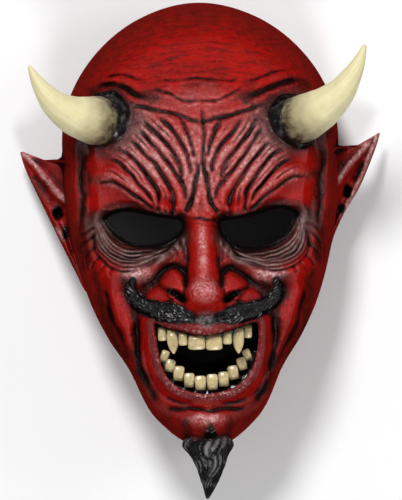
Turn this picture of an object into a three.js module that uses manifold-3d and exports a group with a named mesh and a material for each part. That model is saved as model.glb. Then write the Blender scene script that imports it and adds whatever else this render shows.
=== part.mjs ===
// A devil mask, moulded as one thin shell with ears, moustache and goatee, with two horns set into
// raised collars and two rows of teeth set into the open mouth. It lies on the plane rim of its back.
// Millimetres. +X is the mask's left-hand ear as seen from the front, +Y the crown, +Z the way it faces.
import * as THREE from 'three'
import { mergeVertices } from 'three/addons/utils/BufferGeometryUtils.js'
import Module from 'manifold-3d'

// The head: its outline seen from the front is a radius every OUTLINE_STEP degrees, chin to crown
const OUTLINE_STEP = 15
const OUTLINE_RADIUS = [127, 114, 92, 83.5, 79, 77.5, 79.5, 86, 97.5, 115.5, 130, 140.5, 145.2]
const OUTLINE_EDGE_HEIGHT = [66, 64, 60, 56, 52, 48, 45, 43, 41, 40, 38, 37, 36]
const HEAD_CENTRE_UP = 6.1
const HEAD_HEIGHT = 124
const RIM_TAPER = 3
const WALL = 3.2
const JOINT_GAP = 0.3

// The fineness of the faceted skin, outside and inside: the first grid over the head's plan, and how far
// the true surface may leave an edge longer than the shortest before that edge is halved
const SKIN_MESH = { columns: 22, rows: 30, tolerance: 1.6, shortest: 3.6 }
const LINING_MESH = { columns: 12, rows: 16, tolerance: 3, shortest: 8 }
const EDGE_SAMPLES = [0.25, 0.5, 0.75]
const POINTS_PER_SPAN = 4
// The lining keeps this far from furrows and nostrils, and turns square to the side past the shoulder
const LINING_CLEARANCE = 6.5
const LINING_SHOULDER = 0.9
const LINING_SLOPE_STEP = 1.5
const LINING_BELOW_RIM = 10

// Positions on the face are [outwards from the middle, up], the same on both halves
const MOUNDS = [
  { at: [0, 61], size: [38, 38], rise: 4 },
  { at: [57, 29], size: [18, 14], rise: 4 },
  { at: [75, 23], size: [11, 27], rise: 3 },
  { at: [0, -41], size: [42, 29], rise: 10 },
  { at: [0, -67], size: [38, 38], rise: 9 },
  { at: [0, -107], size: [27, 18], rise: 17 },
]
const RIDGES = [
  { name: 'brow', path: [[70, 47], [56, 46], [43, 38], [31, 29], [22, 23], [13, 21]],
    radius: [10, 12, 12, 11, 9, 7], rise: [7, 9, 10, 10, 10, 8], fade: [0.25, 0.12] },
  { name: 'temple hollow', path: [[70, 81], [70, 57], [70, 33], [71, 8]],
    radius: [6, 7, 8, 7], rise: [-4.5], fade: [0.3, 0.3] },
  { name: 'cheekbone', path: [[68, -5], [56, -12], [41, -13], [27, -6], [17, 0]],
    radius: [10, 12, 13, 11, 7], rise: [6, 9, 10, 7, 3], fade: [0.2, 0.15] },
  { name: 'cheek fold',
    path: [[60, -10], [57, -20], [55, -31], [50, -47], [44, -64], [39, -83], [32, -98], [22, -109]],
    radius: [9, 9, 9, 8, 7, 7, 7, 7], rise: [5, 7, 7, 7, 6.5, 6, 5, 3], fade: [0.15, 0.3] },
  { name: 'jaw hollow', path: [[66, -19], [63, -32], [58, -50], [51, -66]],
    radius: [7, 7, 6, 5.5], rise: [-4], fade: [0.3, 0.2] },
  { name: 'eye bag', path: [[64, 16], [61, 6], [52, -1], [41, -3], [30, -2], [20, 2], [14, 8]],
    radius: [7, 8, 8, 8, 8, 7, 6], rise: [3, 4.5, 4.5, 4.5, 4.5, 4, 3], fade: [0.2, 0.2] },
  { name: 'upper lid', path: [[64, 23], [57, 25], [43, 26], [28, 22], [12, 19]],
    radius: [4], rise: [4], fade: [0.2, 0.1] },
]

// Furrows are V-shaped cuts with slightly raised banks
const FURROW_WIDTH = 2.9
const FURROW_FADE = [0.18, 0.15]
const FURROW_BANK = { height: 0.25, at: 2.2, half: 1.1 }
const FURROWS = [
  { name: 'fan 1', path: [[25, 78], [18, 71], [12, 62], [9, 53], [8, 44]], depth: [2.4, 4, 4.2, 3] },
  { name: 'fan 2', path: [[37, 74], [29, 66], [22, 57], [17, 49], [13, 41], [12, 30]],
    depth: [2.4, 4, 4.2, 3] },
  { name: 'fan 3', path: [[47, 67], [38, 59], [30, 52], [24, 43], [20, 34], [19, 22]],
    depth: [2.4, 4, 4.2, 3] },
  { name: 'fan 4', path: [[57, 57], [49, 54], [41, 48], [34, 39], [29, 31], [27, 23]],
    depth: [2.4, 4, 4, 2.8] },
  { name: 'fan 5', path: [[66, 42], [57, 42], [48, 39], [40, 34], [34, 28]], depth: [2, 3.6, 3.6, 2.2] },
  { name: 'gull-wing crease', path: [[43, 89], [38, 88], [29, 86], [19, 84], [12, 82], [6, 79], [0, 77]],
    depth: [2, 3, 3, 3, 2.4], fade: [0.2, 0] },
  { name: 'temple arch', path: [[62, 100], [56, 101], [50, 101], [40, 97], [33, 94], [27, 94]],
    depth: [2, 3, 3, 2] },
  { name: 'frown line', path: [[1, 56], [3, 44], [4.5, 35], [7, 27], [11, 22]],
    depth: [1.5, 3, 3.2, 3], fade: [0.1, 0.05] },
  { name: 'nose root', path: [[11, 19], [5, 18.5], [0, 18.5]], depth: [1.5, 2.2], fade: [0.2, 0] },
  { name: 'wing crease',
    path: [[12, -24], [11, -18], [12, -12], [16, -8], [23, -10], [31, -15], [36, -22], [40, -29]],
    depth: [3, 5, 5.5, 5, 5, 4], fade: [0.08, 0.2], width: 2.6 },
  { name: 'mouth side', path: [[37, -32], [40, -40], [41, -48], [41, -65], [36, -80], [31, -90], [25, -98]],
    depth: [3, 4.6, 5, 4.6, 4, 3], fade: [0.15, 0.2], width: 3.4 },
  { name: 'jaw line', path: [[61, -18], [59, -29], [55, -42], [48, -60], [43, -73]],
    depth: [2.5, 3.5, 3.5, 2.5], width: 2.8 },
  { name: 'chin crease', path: [[27, -95], [19, -96], [12, -95], [6, -96], [0, -97]],
    depth: [2, 3.5, 3.5], fade: [0.2, 0] },
  { name: 'eye bag edge', path: [[66, 14], [65, 1], [57, -8], [46, -11], [35, -9], [24, -3], [15, 4]],
    depth: [2, 2.8, 2.8, 2], width: 1.8 },
]

// The nose: rise and half-width of its broad body and of its round bridge at places down its length
const NOSE_UP = [27, 22, 17, 6, -6, -18, -25, -30, -34, -38, -42]
const NOSE_BODY_RISE = [0, 1, 2, 5, 8, 10, 11, 9, 6, 2, 0]
const NOSE_BODY_HALF = [15, 16, 17, 20, 23, 29, 33, 33, 31, 27, 24]
const NOSE_BRIDGE_RISE = [0, 2.5, 5, 9, 13, 17, 19, 19, 15, 7, 0]
const NOSE_BRIDGE_HALF = [7, 7, 7, 8, 9, 11, 13, 13, 12, 10, 8]
const BRIDGE_POWER = 2.2
const LUMP_FALL = 3
const NOSE_TIP = { at: [0, -26], size: [12, 11], rise: 21 }
const NOSE_WING = { at: [23, -21], size: [13, 9], rise: 9, turn: -24 }
const NOSTRIL = { path: [[20, -24], [16, -26], [12, -29]], radius: [3.4], rise: [-7], fade: [0.2, 0.1] }

// The eye holes and the mouth, as closed outlines of one half; the mouth's half closes on the middle
const EYE_OUTLINE = [[58, 20], [52, 23.5], [43, 24], [28, 20.5], [14, 18], [13, 13], [18, 8.5], [26, 5],
  [36, 4.5], [46, 7], [54, 13]]
const EYE_SOCKET_REACH = 8
const EYE_SOCKET_DEPTH = 7
const MOUTH_HALF = [[0, -50.5], [7, -50.5], [15, -48.5], [24, -45.5], [31, -43.5], [33, -50], [32, -62],
  [29, -73], [23, -82], [14, -88], [0, -90]]
const MOUTH_DEPTH = 24
const MOUTH_FLOOR_FLATNESS = 0.8
const LIP_HALF_WIDTH = 4
const LIP_RISE = 3.5

// The moustache and the goatee
const MOUSTACHE_PATH = [[44, -16], [44.5, -22], [41, -28], [35, -32], [27, -35], [18, -38], [10, -40.5],
  [4, -42]]
const MOUSTACHE_RADIUS = [2.6, 4.2, 4.6, 4.8, 5, 5.6, 5, 3]
const MOUSTACHE_STEPS = 10
const MOUSTACHE_SIDES = 6
const MOUSTACHE_LIFT = 1.2
const GOATEE_SIDES = 12
const GOATEE_KEEL = 0.16
const GOATEE_STATIONS = [
  { at: [0, -104, 92], half: [4, 6] },
  { at: [0, -111, 91], half: [10, 9] },
  { at: [0, -118, 88], half: [15.5, 10] },
  { at: [0.5, -125, 85], half: [11.5, 9] },
  { at: [1, -133, 83.5], half: [8, 7.5] },
  { at: [0.5, -142, 84], half: [4.6, 5] },
  { at: [-0.5, -148, 86], half: [2.2, 2.6] },
  { at: [-1.2, -151.3, 87.5], half: [0.6, 0.6] },
]

// The ears, each from its own root line on the head to its own free edge, lobe to tip
const EARS = [
  { side: -1,
    root: [[67, -26], [71, -12], [73, 6], [72, 26], [73, 44], [78, 56]],
    edge: [[72, -24], [78, -11], [87, 8], [98.5, 33], [107, 52], [110.4, 64]],
    dip: 4.5 },
  { side: 1,
    root: [[69, -26], [72, -12], [73, 6], [73, 26], [75, 44], [81, 60]],
    edge: [[74, -25], [79, -8], [86, 13], [97, 36], [106, 57], [110.4, 69.5]],
    dip: 5.5 },
]
const EAR_FRONT_HEIGHT = { root: [55, 61, 64, 62, 58, 54], edge: [48, 42, 35, 28, 22, 18] }
const EAR_THICKNESS = { root: 13, edge: 2.6, thinningToTip: 0.35 }
const EAR_ROLL = { at: 0.86, half: 0.2, rise: 3.4, length: [0.15, 0.9] }
const EAR_BOWL = { at: [0.45, 0.42], half: [0.4, 0.36], depth: 9 }
const EAR_STEPS = 10
const EAR_ACROSS = 6

// The horns: the middle line, base to tip, and the radius along it
const HORNS = [
  { name: 'horn_left',
    line: [[-50, 79, 83], [-58.5, 79.7, 93.5], [-67, 81, 102], [-77, 84, 109], [-86.5, 90, 114],
      [-93.5, 98, 116.5], [-98.7, 106.5, 117.5], [-102.5, 114.5, 118]] },
  { name: 'horn_right',
    line: [[49, 74.5, 83], [56.5, 76, 93.5], [65.5, 79.5, 102], [76, 85, 109], [86, 93.5, 114],
      [93, 103.5, 116.5], [98, 113, 117.5], [101.5, 122, 118]] },
]
const HORN_RADIUS = [15, 15.3, 14.6, 12.6, 9.8, 7, 4.2, 0.8]
const HORN_STEPS = 12
const HORN_SIDES = 10
const COLLAR_WIDTH = 3.2
const COLLAR_SHARES = [1.3, 1, 0.6]
const COLLAR_END = 0.22
const COLLAR_STEPS = 4
const COLLAR_SIDES = 14

// The teeth of one half, middle first: where each crown leaves the gum, where it bites, and its width
const UPPER_TEETH = [
  { root: [5.3, -51.8], bite: [5.2, -61.5], width: 9 },
  { root: [13.7, -50], bite: [13.3, -58.5], width: 4.8 },
  { root: [20.2, -48.4], bite: [19.4, -64], width: 6.4, pointed: true },
  { root: [26, -46.8], bite: [25.3, -55.5], width: 4.6 },
]
const LOWER_TEETH = [
  { root: [3.6, -86], bite: [3.4, -76.5], width: 6 },
  { root: [10.6, -84], bite: [9.9, -75], width: 5.6 },
  { root: [17.3, -80], bite: [15.8, -71.8], width: 5.2 },
  { root: [23.2, -74.5], bite: [20.6, -67], width: 4.8 },
  { root: [27, -68.5], bite: [24, -62], width: 4.4 },
]
const TOOTH_THICKNESS = 6
const TOOTH_EDGE_THINNESS = 0.45
const TOOTH_FORWARD = 0.6
const TOOTH_BEVEL = 1
const TOOTH_WIDTHS = { plain: [1, 0.74], pointed: [1, 0.95, 0.2] }
const TEETH_SET_BACK = 5
const GUM_DEPTH = 6.5
const GUM_HEIGHT = 9
const GUM_SLOPE = 1.5
const GUM_GAP = 0.5
// Which corners of the mouth's outline each gum strip runs along, counted from the middle of the upper lip
const UPPER_GUM = [-4, 4]
const LOWER_GUM = [6, 14]

const SKIN = new THREE.MeshStandardMaterial({ color: 0x9b1512, roughness: 0.42, metalness: 0 })
const HORN = new THREE.MeshStandardMaterial({ color: 0xd9cc98, roughness: 0.45, metalness: 0 })
const TOOTH = new THREE.MeshStandardMaterial({ color: 0xd8cba0, roughness: 0.35, metalness: 0 })

const wasm = await Module()
wasm.setup()

const clamp01 = (value) => Math.min(1, Math.max(0, value))
const mix = (a, b, t) => a + (b - a) * t
const easeInOut = (value) => clamp01(value) ** 2 * (3 - 2 * clamp01(value))
const softBump = (distance) => (1 - clamp01(distance) ** 2) ** 2

// A value along a list, t from 0 at its start to 1 at its end
function along(list, t) {
  const place = clamp01(t) * (list.length - 1)
  const index = Math.min(Math.floor(place), list.length - 2)
  return list.length === 1 ? list[0] : mix(list[index], list[index + 1], place - index)
}

function smoothPath(points) {
  const curve = new THREE.CatmullRomCurve3(
    points.map(([x, y, z = 0]) => new THREE.Vector3(x, y, z)), false, 'centripetal')
  return curve.getPoints((points.length - 1) * POINTS_PER_SPAN)
}

// How far a point of the face lies from a path, and how far along the path its nearest place is
function nearest(path, x, y) {
  let best = { distance: Infinity, t: 0 }
  for (let i = 0; i < path.length - 1; i += 1) {
    const a = path[i]
    const b = path[i + 1]
    const length2 = (b.x - a.x) ** 2 + (b.y - a.y) ** 2
    const s = clamp01(((x - a.x) * (b.x - a.x) + (y - a.y) * (b.y - a.y)) / length2)
    const distance = Math.hypot(x - mix(a.x, b.x, s), y - mix(a.y, b.y, s))
    if (distance < best.distance) best = { distance, t: (i + s) / (path.length - 1) }
  }
  return best
}

// Distance to a closed outline, negative inside it
function signedDistance(outline, x, y) {
  let distance = Infinity
  let inside = false
  for (let i = 0; i < outline.length; i += 1) {
    const [ax, ay] = outline[i]
    const [bx, by] = outline[(i + 1) % outline.length]
    const length2 = (bx - ax) ** 2 + (by - ay) ** 2
    const s = clamp01(((x - ax) * (bx - ax) + (y - ay) * (by - ay)) / length2)
    distance = Math.min(distance, Math.hypot(x - mix(ax, bx, s), y - mix(ay, by, s)))
    if ((ay > y) !== (by > y) && x < ((bx - ax) * (y - ay)) / (by - ay) + ax) inside = !inside
  }
  return inside ? -distance : distance
}

for (const form of [...RIDGES, ...FURROWS, NOSTRIL]) form.curve = smoothPath(form.path)

// A value listed around the head's outline, chin to crown, smoothly between its places
function outlineAt(list, x, y) {
  const angle = THREE.MathUtils.radToDeg(Math.atan2(y - HEAD_CENTRE_UP, Math.abs(x)))
  const place = (angle + 90) / OUTLINE_STEP
  const index = Math.min(Math.floor(place), list.length - 2)
  const value = (i) => list[i < 0 ? 1 : i > list.length - 1 ? list.length - 2 : i]
  const t = place - index
  const [a, b, c, d] = [value(index - 1), value(index), value(index + 1), value(index + 2)]
  return 0.5 * (2 * b + (c - a) * t + (2 * a - 5 * b + 4 * c - d) * t * t + (3 * b - a - 3 * c + d) * t ** 3)
}

const fading = ([start, end], t) => easeInOut(start ? t / start : 1) * easeInOut(end ? (1 - t) / end : 1)

function ridgeHeight(form, out, up) {
  const { distance, t } = nearest(form.curve, out, up)
  return along(form.rise, t) * softBump(distance / along(form.radius, t)) * fading(form.fade, t)
}

function furrowHeight(form, out, up) {
  const { distance, t } = nearest(form.curve, out, up)
  const k = distance / (form.width ?? FURROW_WIDTH)
  const cut = (1 + FURROW_BANK.height) * Math.exp(-(k ** 1.5))
  const bank = FURROW_BANK.height * Math.exp(-(((k - FURROW_BANK.at) / FURROW_BANK.half) ** 2))
  return -along(form.depth, t) * fading(form.fade ?? FURROW_FADE, t) * (cut - bank)
}

// A rounded lump: full height in its middle, falling away beyond its edge
function lump({ at, size, rise, turn = 0 }, out, up) {
  const a = THREE.MathUtils.degToRad(turn)
  const [dx, dy] = [out - at[0], up - at[1]]
  const [u, v] = [dx * Math.cos(a) + dy * Math.sin(a), dy * Math.cos(a) - dx * Math.sin(a)]
  const q = Math.hypot(u / size[0], v / size[1])
  return q < 1 ? rise * Math.sqrt(1 - q * q) : -LUMP_FALL * (q - 1)
}

// A value listed down the nose's length
function noseAt(list, up) {
  const last = NOSE_UP.length - 1
  if (up > NOSE_UP[0] || up < NOSE_UP[last]) return list[up > 0 ? 0 : last]
  const i = NOSE_UP.findIndex((place, index) => index < last && up <= place && up >= NOSE_UP[index + 1])
  return mix(list[i], list[i + 1], (NOSE_UP[i] - up) / (NOSE_UP[i] - NOSE_UP[i + 1]))
}

const MOUTH_OUTLINE = [...MOUTH_HALF, ...MOUTH_HALF.slice(1, -1).reverse().map(([x, y]) => [-x, y])]

// The height of the face at a place, without its furrows, and with them
function broadHeight(x, y) {
  const out = Math.abs(x)
  const radius = outlineAt(OUTLINE_RADIUS, x, y)
  const edge = outlineAt(OUTLINE_EDGE_HEIGHT, x, y)
  const rim = clamp01(Math.hypot(x, y - HEAD_CENTRE_UP) / radius)
  let height = edge + (HEAD_HEIGHT - edge) * Math.sqrt(1 - rim * rim)
  for (const { at, size, rise } of MOUNDS) {
    height += rise * softBump(Math.hypot((out - at[0]) / size[0], (y - at[1]) / size[1]))
  }
  for (const form of RIDGES) height += ridgeHeight(form, out, y)
  height += noseAt(NOSE_BODY_RISE, y) * softBump(out / noseAt(NOSE_BODY_HALF, y))
  const socket = clamp01(1 - Math.max(0, signedDistance(EYE_OUTLINE, out, y)) / EYE_SOCKET_REACH)
  return height - EYE_SOCKET_DEPTH * easeInOut(socket)
}

function fullHeight(x, y) {
  const out = Math.abs(x)
  const ground = broadHeight(x, y)
  const bridgeRise = noseAt(NOSE_BRIDGE_RISE, y)
  const across = out / noseAt(NOSE_BRIDGE_HALF, y)
  const bridge = across < 1 ? bridgeRise * Math.sqrt(1 - across ** BRIDGE_POWER) : 0
  let height = Math.max(ground, ground + bridge, ground + lump(NOSE_TIP, out, y), ground + lump(NOSE_WING, out, y))
  height += ridgeHeight(NOSTRIL, out, y)
  const mouth = signedDistance(MOUTH_OUTLINE, x, y)
  height += LIP_RISE * softBump((mouth - LIP_HALF_WIDTH / 2) / LIP_HALF_WIDTH)
  for (const form of FURROWS) height += furrowHeight(form, out, y)
  return height
}

// A closed body from rows of points: each row is one ring, and the two end rings are capped
function loftGeometry(rings) {
  const sides = rings[0].length
  const points = rings.flat()
  const faces = []
  for (let r = 0; r < rings.length - 1; r += 1) {
    for (let s = 0; s < sides; s += 1) {
      const a = r * sides + s
      const b = r * sides + ((s + 1) % sides)
      faces.push([a, b, b + sides], [a, b + sides, a + sides])
    }
  }
  for (const [ring, flip] of [[0, true], [rings.length - 1, false]]) {
    const middle = rings[ring].reduce((sum, p) => sum.map((v, k) => v + p[k] / sides), [0, 0, 0])
    points.push(middle)
    for (let s = 0; s < sides; s += 1) {
      const a = ring * sides + s
      const b = ring * sides + ((s + 1) % sides)
      faces.push(flip ? [b, a, points.length - 1] : [a, b, points.length - 1])
    }
  }
  return geometryFrom(points, faces)
}

function geometryFrom(points, faces) {
  const geometry = new THREE.BufferGeometry()
  geometry.setAttribute('position', new THREE.Float32BufferAttribute(points.flat(), 3))
  geometry.setIndex(faces.flat())
  return mergeVertices(geometry, 1e-4)
}

// The enclosed volume is negative when the faces of a closed body point inwards
function signedVolume(geometry) {
  const p = geometry.attributes.position
  const index = geometry.index.array
  const corner = (i) => new THREE.Vector3().fromBufferAttribute(p, index[i])
  let volume = 0
  for (let i = 0; i < index.length; i += 3) volume += corner(i).dot(corner(i + 1).cross(corner(i + 2))) / 6
  return volume
}

function solid(geometry) {
  const triVerts = Uint32Array.from(geometry.index.array)
  if (signedVolume(geometry) < 0) {
    for (let i = 0; i < triVerts.length; i += 3) [triVerts[i], triVerts[i + 1]] = [triVerts[i + 1], triVerts[i]]
  }
  const vertProperties = Float32Array.from(geometry.attributes.position.array)
  return new wasm.Manifold(new wasm.Mesh({ numProp: 3, vertProperties, triVerts }))
}

function geometryOf(body) {
  const mesh = body.getMesh()
  const geometry = new THREE.BufferGeometry()
  geometry.setAttribute('position', new THREE.BufferAttribute(Float32Array.from(mesh.vertProperties), 3))
  geometry.setIndex(Array.from(mesh.triVerts))
  return geometry
}

// A point of the head's plan for a place in a square grid, -1 to 1 each way
function planPoint([u, v]) {
  const px = u * Math.sqrt(1 - (v * v) / 2)
  const py = v * Math.sqrt(1 - (u * u) / 2)
  const radius = outlineAt(OUTLINE_RADIUS, px, py + HEAD_CENTRE_UP)
  return [px * radius, py * radius + HEAD_CENTRE_UP, Math.hypot(px, py)]
}

const edgeKey = (a, b) => (a < b ? `${a} ${b}` : `${b} ${a}`)

// Triangles over the head's plan, with their edges halved where the surface bends away from them
function refinedPlan(surface, { columns, rows, tolerance, shortest }) {
  const places = []
  const points = []
  const addPlace = (place) => {
    places.push(place)
    points.push(new THREE.Vector3(...surface(...planPoint(place))))
    return places.length - 1
  }
  for (let j = 0; j <= rows; j += 1) {
    for (let i = 0; i <= columns; i += 1) addPlace([(2 * i) / columns - 1, (2 * j) / rows - 1])
  }
  let triangles = []
  for (let j = 0; j < rows; j += 1) {
    for (let i = 0; i < columns; i += 1) {
      const a = j * (columns + 1) + i
      const [b, c, d] = [a + 1, a + columns + 2, a + columns + 1]
      const leaning = (i < columns / 2) === (j < rows / 2)
      triangles.push(...(leaning ? [[a, b, c], [a, c, d]] : [[a, b, d], [b, c, d]]))
    }
  }
  const between = (a, b, t) => [mix(places[a][0], places[b][0], t), mix(places[a][1], places[b][1], t)]
  const bends = (a, b) => {
    if (points[a].distanceTo(points[b]) < shortest) return false
    const chord = new THREE.Line3(points[a], points[b])
    return EDGE_SAMPLES.some((t) => {
      const sample = new THREE.Vector3(...surface(...planPoint(between(a, b, t))))
      return chord.closestPointToPoint(sample, true, new THREE.Vector3()).distanceTo(sample) > tolerance
    })
  }
  const settled = new Map()
  const isBent = (a, b) => {
    const key = edgeKey(a, b)
    if (!settled.has(key)) settled.set(key, bends(a, b))
    return settled.get(key)
  }
  // Each triangle is turned so that its longest edge comes first
  const turned = ([a, b, c]) => {
    const lengths = [[a, b], [b, c], [c, a]].map(([p, q]) => points[p].distanceTo(points[q]))
    const longest = lengths.indexOf(Math.max(...lengths))
    return [[a, b, c], [b, c, a], [c, a, b]][longest]
  }
  for (;;) {
    triangles = triangles.map(turned)
    const halved = new Map()
    for (const [a, b, c] of triangles) {
      for (const [p, q] of [[a, b], [b, c], [c, a]]) {
        if (isBent(p, q)) halved.set(edgeKey(p, q), -1)
      }
    }
    if (!halved.size) return { points, triangles }
    const isHalved = (p, q) => halved.has(edgeKey(p, q))
    for (let grown = true; grown;) {
      grown = false
      for (const [a, b, c] of triangles) {
        if (!isHalved(a, b) && (isHalved(b, c) || isHalved(c, a))) {
          halved.set(edgeKey(a, b), -1)
          grown = true
        }
      }
    }
    const middle = (p, q) => {
      const key = edgeKey(p, q)
      if (halved.get(key) < 0) halved.set(key, addPlace(between(p, q, 0.5)))
      return halved.get(key)
    }
    triangles = triangles.flatMap(([a, b, c]) => {
      if (!isHalved(a, b)) return [[a, b, c]]
      const m = middle(a, b)
      const right = isHalved(b, c) ? [[m, b, middle(b, c)], [m, middle(b, c), c]] : [[m, b, c]]
      const left = isHalved(c, a) ? [[m, c, middle(c, a)], [m, middle(c, a), a]] : [[m, c, a]]
      return [...right, ...left]
    })
  }
}

// A domed body over the head's plan: its surface, then a skirt from its edge down to the rim, closed below
function domeBody(surface, fineness, rimPoint) {
  const { points, triangles } = refinedPlan(surface, fineness)
  const next = new Map()
  const inner = new Set(triangles.flatMap(([a, b, c]) => [`${a} ${b}`, `${b} ${c}`, `${c} ${a}`]))
  for (const [a, b, c] of triangles) {
    for (const [p, q] of [[a, b], [b, c], [c, a]]) {
      if (!inner.has(`${q} ${p}`)) next.set(p, q)
    }
  }
  const start = next.keys().next().value
  const ring = [start]
  while (next.get(ring.at(-1)) !== start) ring.push(next.get(ring.at(-1)))
  const corners = points.map((p) => p.toArray())
  const faces = [...triangles]
  const lower = ring.map((index) => corners.push(rimPoint(corners[index])) - 1)
  const hub = corners.push([0, HEAD_CENTRE_UP, corners[lower[0]][2]]) - 1
  ring.forEach((a, k) => {
    const following = (k + 1) % ring.length
    faces.push([a, lower[k], lower[following]], [a, lower[following], ring[following]])
    faces.push([lower[following], lower[k], hub])
  })
  return solid(geometryFrom(corners, faces))
}

// A place moved towards the middle of the head's plan
function drawIn([x, y], amount) {
  const reach = Math.hypot(x, y - HEAD_CENTRE_UP)
  const scale = Math.max(0, reach - amount) / Math.max(reach, 1e-6)
  return [x * scale, (y - HEAD_CENTRE_UP) * scale + HEAD_CENTRE_UP]
}

function skinBlank() {
  return domeBody((x, y) => [x, y, fullHeight(x, y)], SKIN_MESH, (p) => [...drawIn(p, RIM_TAPER), 0])
}

// How far the furrows and the nose lower or raise the lining: the least they do nearby
function detailBelow(x, y) {
  let least = fullHeight(x, y) - broadHeight(x, y)
  for (let a = 0; a < 2 * Math.PI; a += Math.PI / 4) {
    for (const reach of [LINING_CLEARANCE / 2, LINING_CLEARANCE]) {
      const [nx, ny] = [x + reach * Math.cos(a), y + reach * Math.sin(a)]
      least = Math.min(least, fullHeight(nx, ny) - broadHeight(nx, ny))
    }
  }
  return least
}

// The hollow: the broad form of the face moved inwards by the wall, square to the surface
function hollow() {
  const step = LINING_SLOPE_STEP
  const surface = (x, y, reach) => {
    const [cx, cy] = drawIn([x, y], reach * step)
    const slopeX = (broadHeight(cx + step, cy) - broadHeight(cx - step, cy)) / (2 * step)
    const slopeY = (broadHeight(cx, cy + step) - broadHeight(cx, cy - step)) / (2 * step)
    const edge = easeInOut((reach - LINING_SHOULDER) / (1 - LINING_SHOULDER))
    const sideways = new THREE.Vector3(x, y - HEAD_CENTRE_UP, 0).normalize()
    const normal = new THREE.Vector3(-slopeX, -slopeY, 1).normalize().lerp(sideways, edge).normalize()
    const height = broadHeight(cx, cy) + detailBelow(cx, cy) * (1 - edge)
    return [cx - normal.x * WALL, cy - normal.y * WALL, height - normal.z * WALL * (1 - edge)]
  }
  return domeBody(surface, LINING_MESH, (p) => [...drawIn(p, RIM_TAPER), -LINING_BELOW_RIM])
}

// A clockwise outline moved outwards by an amount, or inwards by a negative one
function offsetOutline(outline, amount) {
  return outline.map(([x, y], i) => {
    const [ax, ay] = outline[(i + outline.length - 1) % outline.length]
    const [bx, by] = outline[(i + 1) % outline.length]
    const move = amount / Math.hypot(bx - ax, by - ay)
    return [x - (by - ay) * move, y + (bx - ax) * move]
  })
}

// A cutter with upright sides, from a height that may differ from place to place up past the whole face
function prism(outline, low) {
  const bottom = outline.map(([x, y]) => [x, y, low(x, y)])
  const top = outline.map(([x, y]) => [x, y, 2 * HEAD_HEIGHT])
  return solid(loftGeometry([bottom, top]))
}

const mouthFloor = (x, y) => broadHeight(x * MOUTH_FLOOR_FLATNESS, y) - MOUTH_DEPTH

// A round body along a line, with a radius that changes along it
function tube(line, radii, steps, sides, grow = 0) {
  const curve = new THREE.CatmullRomCurve3(line.map((p) => new THREE.Vector3(...p)), false, 'centripetal')
  const frames = curve.computeFrenetFrames(steps, false)
  const rings = []
  for (let i = 0; i <= steps; i += 1) {
    const t = i / steps
    const centre = curve.getPointAt(t)
    const radius = along(radii, t) + grow
    const ring = []
    for (let s = 0; s < sides; s += 1) {
      const a = (2 * Math.PI * s) / sides
      const p = centre.clone()
        .addScaledVector(frames.normals[i], Math.cos(a) * radius)
        .addScaledVector(frames.binormals[i], Math.sin(a) * radius)
      ring.push(p.toArray())
    }
    rings.push(ring)
  }
  return solid(loftGeometry(rings))
}

function collar(horn) {
  const whole = smoothPath(horn.line)
  const line = whole.slice(0, Math.round((whole.length - 1) * COLLAR_END) + 1)
  const radii = COLLAR_SHARES.map((share) => HORN_RADIUS[1] + COLLAR_WIDTH * share)
  return tube(line.map((p) => p.toArray()), radii, COLLAR_STEPS, COLLAR_SIDES)
}

function moustache(side) {
  const line = MOUSTACHE_PATH.map(([out, up]) => [side * out, up, fullHeight(out, up) + MOUSTACHE_LIFT])
  return tube(line, MOUSTACHE_RADIUS, MOUSTACHE_STEPS, MOUSTACHE_SIDES)
}

function goatee() {
  const rings = GOATEE_STATIONS.map(({ at, half }) => {
    const ring = []
    for (let s = 0; s < GOATEE_SIDES; s += 1) {
      const a = (2 * Math.PI * s) / GOATEE_SIDES
      const ridge = 1 - GOATEE_KEEL * Math.cos(2 * a)
      ring.push([at[0] + half[0] * Math.cos(a), at[1], at[2] + half[1] * Math.sin(a) * ridge])
    }
    return ring
  })
  return solid(loftGeometry(rings))
}

// An ear is a row of sections from lobe to tip, each from the root out to the free edge and back behind
function ear({ side, root, edge, dip }) {
  const roots = smoothPath(root)
  const edges = smoothPath(edge)
  const place = (line, s) => {
    const index = Math.min(Math.floor(s * (line.length - 1)), line.length - 2)
    return line[index].clone().lerp(line[index + 1], s * (line.length - 1) - index)
  }
  const rings = []
  for (let i = 0; i <= EAR_STEPS; i += 1) {
    const s = i / EAR_STEPS
    const [a, b] = [place(roots, s), place(edges, s)]
    const front = []
    const back = []
    for (let k = 0; k <= EAR_ACROSS; k += 1) {
      const t = k / EAR_ACROSS
      const x = side * mix(a.x, b.x, t)
      const y = mix(a.y, b.y, t) - dip * s ** 3 * Math.sin(Math.PI * t)
      const roll = EAR_ROLL.rise * softBump(Math.abs(t - EAR_ROLL.at) / EAR_ROLL.half)
        * Math.sin(Math.PI * mix(...EAR_ROLL.length, s))
      const bowl = EAR_BOWL.depth
        * softBump(Math.hypot((t - EAR_BOWL.at[0]) / EAR_BOWL.half[0], (s - EAR_BOWL.at[1]) / EAR_BOWL.half[1]))
      const z = mix(along(EAR_FRONT_HEIGHT.root, s), along(EAR_FRONT_HEIGHT.edge, s), t) + roll - bowl
      const thick = mix(EAR_THICKNESS.root, EAR_THICKNESS.edge, Math.sqrt(t)) * (1 - EAR_THICKNESS.thinningToTip * s)
      front.push([x, y, z])
      back.push([x, y, z - thick])
    }
    rings.push([...front, ...back.reverse()])
  }
  return solid(loftGeometry(rings))
}

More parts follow.
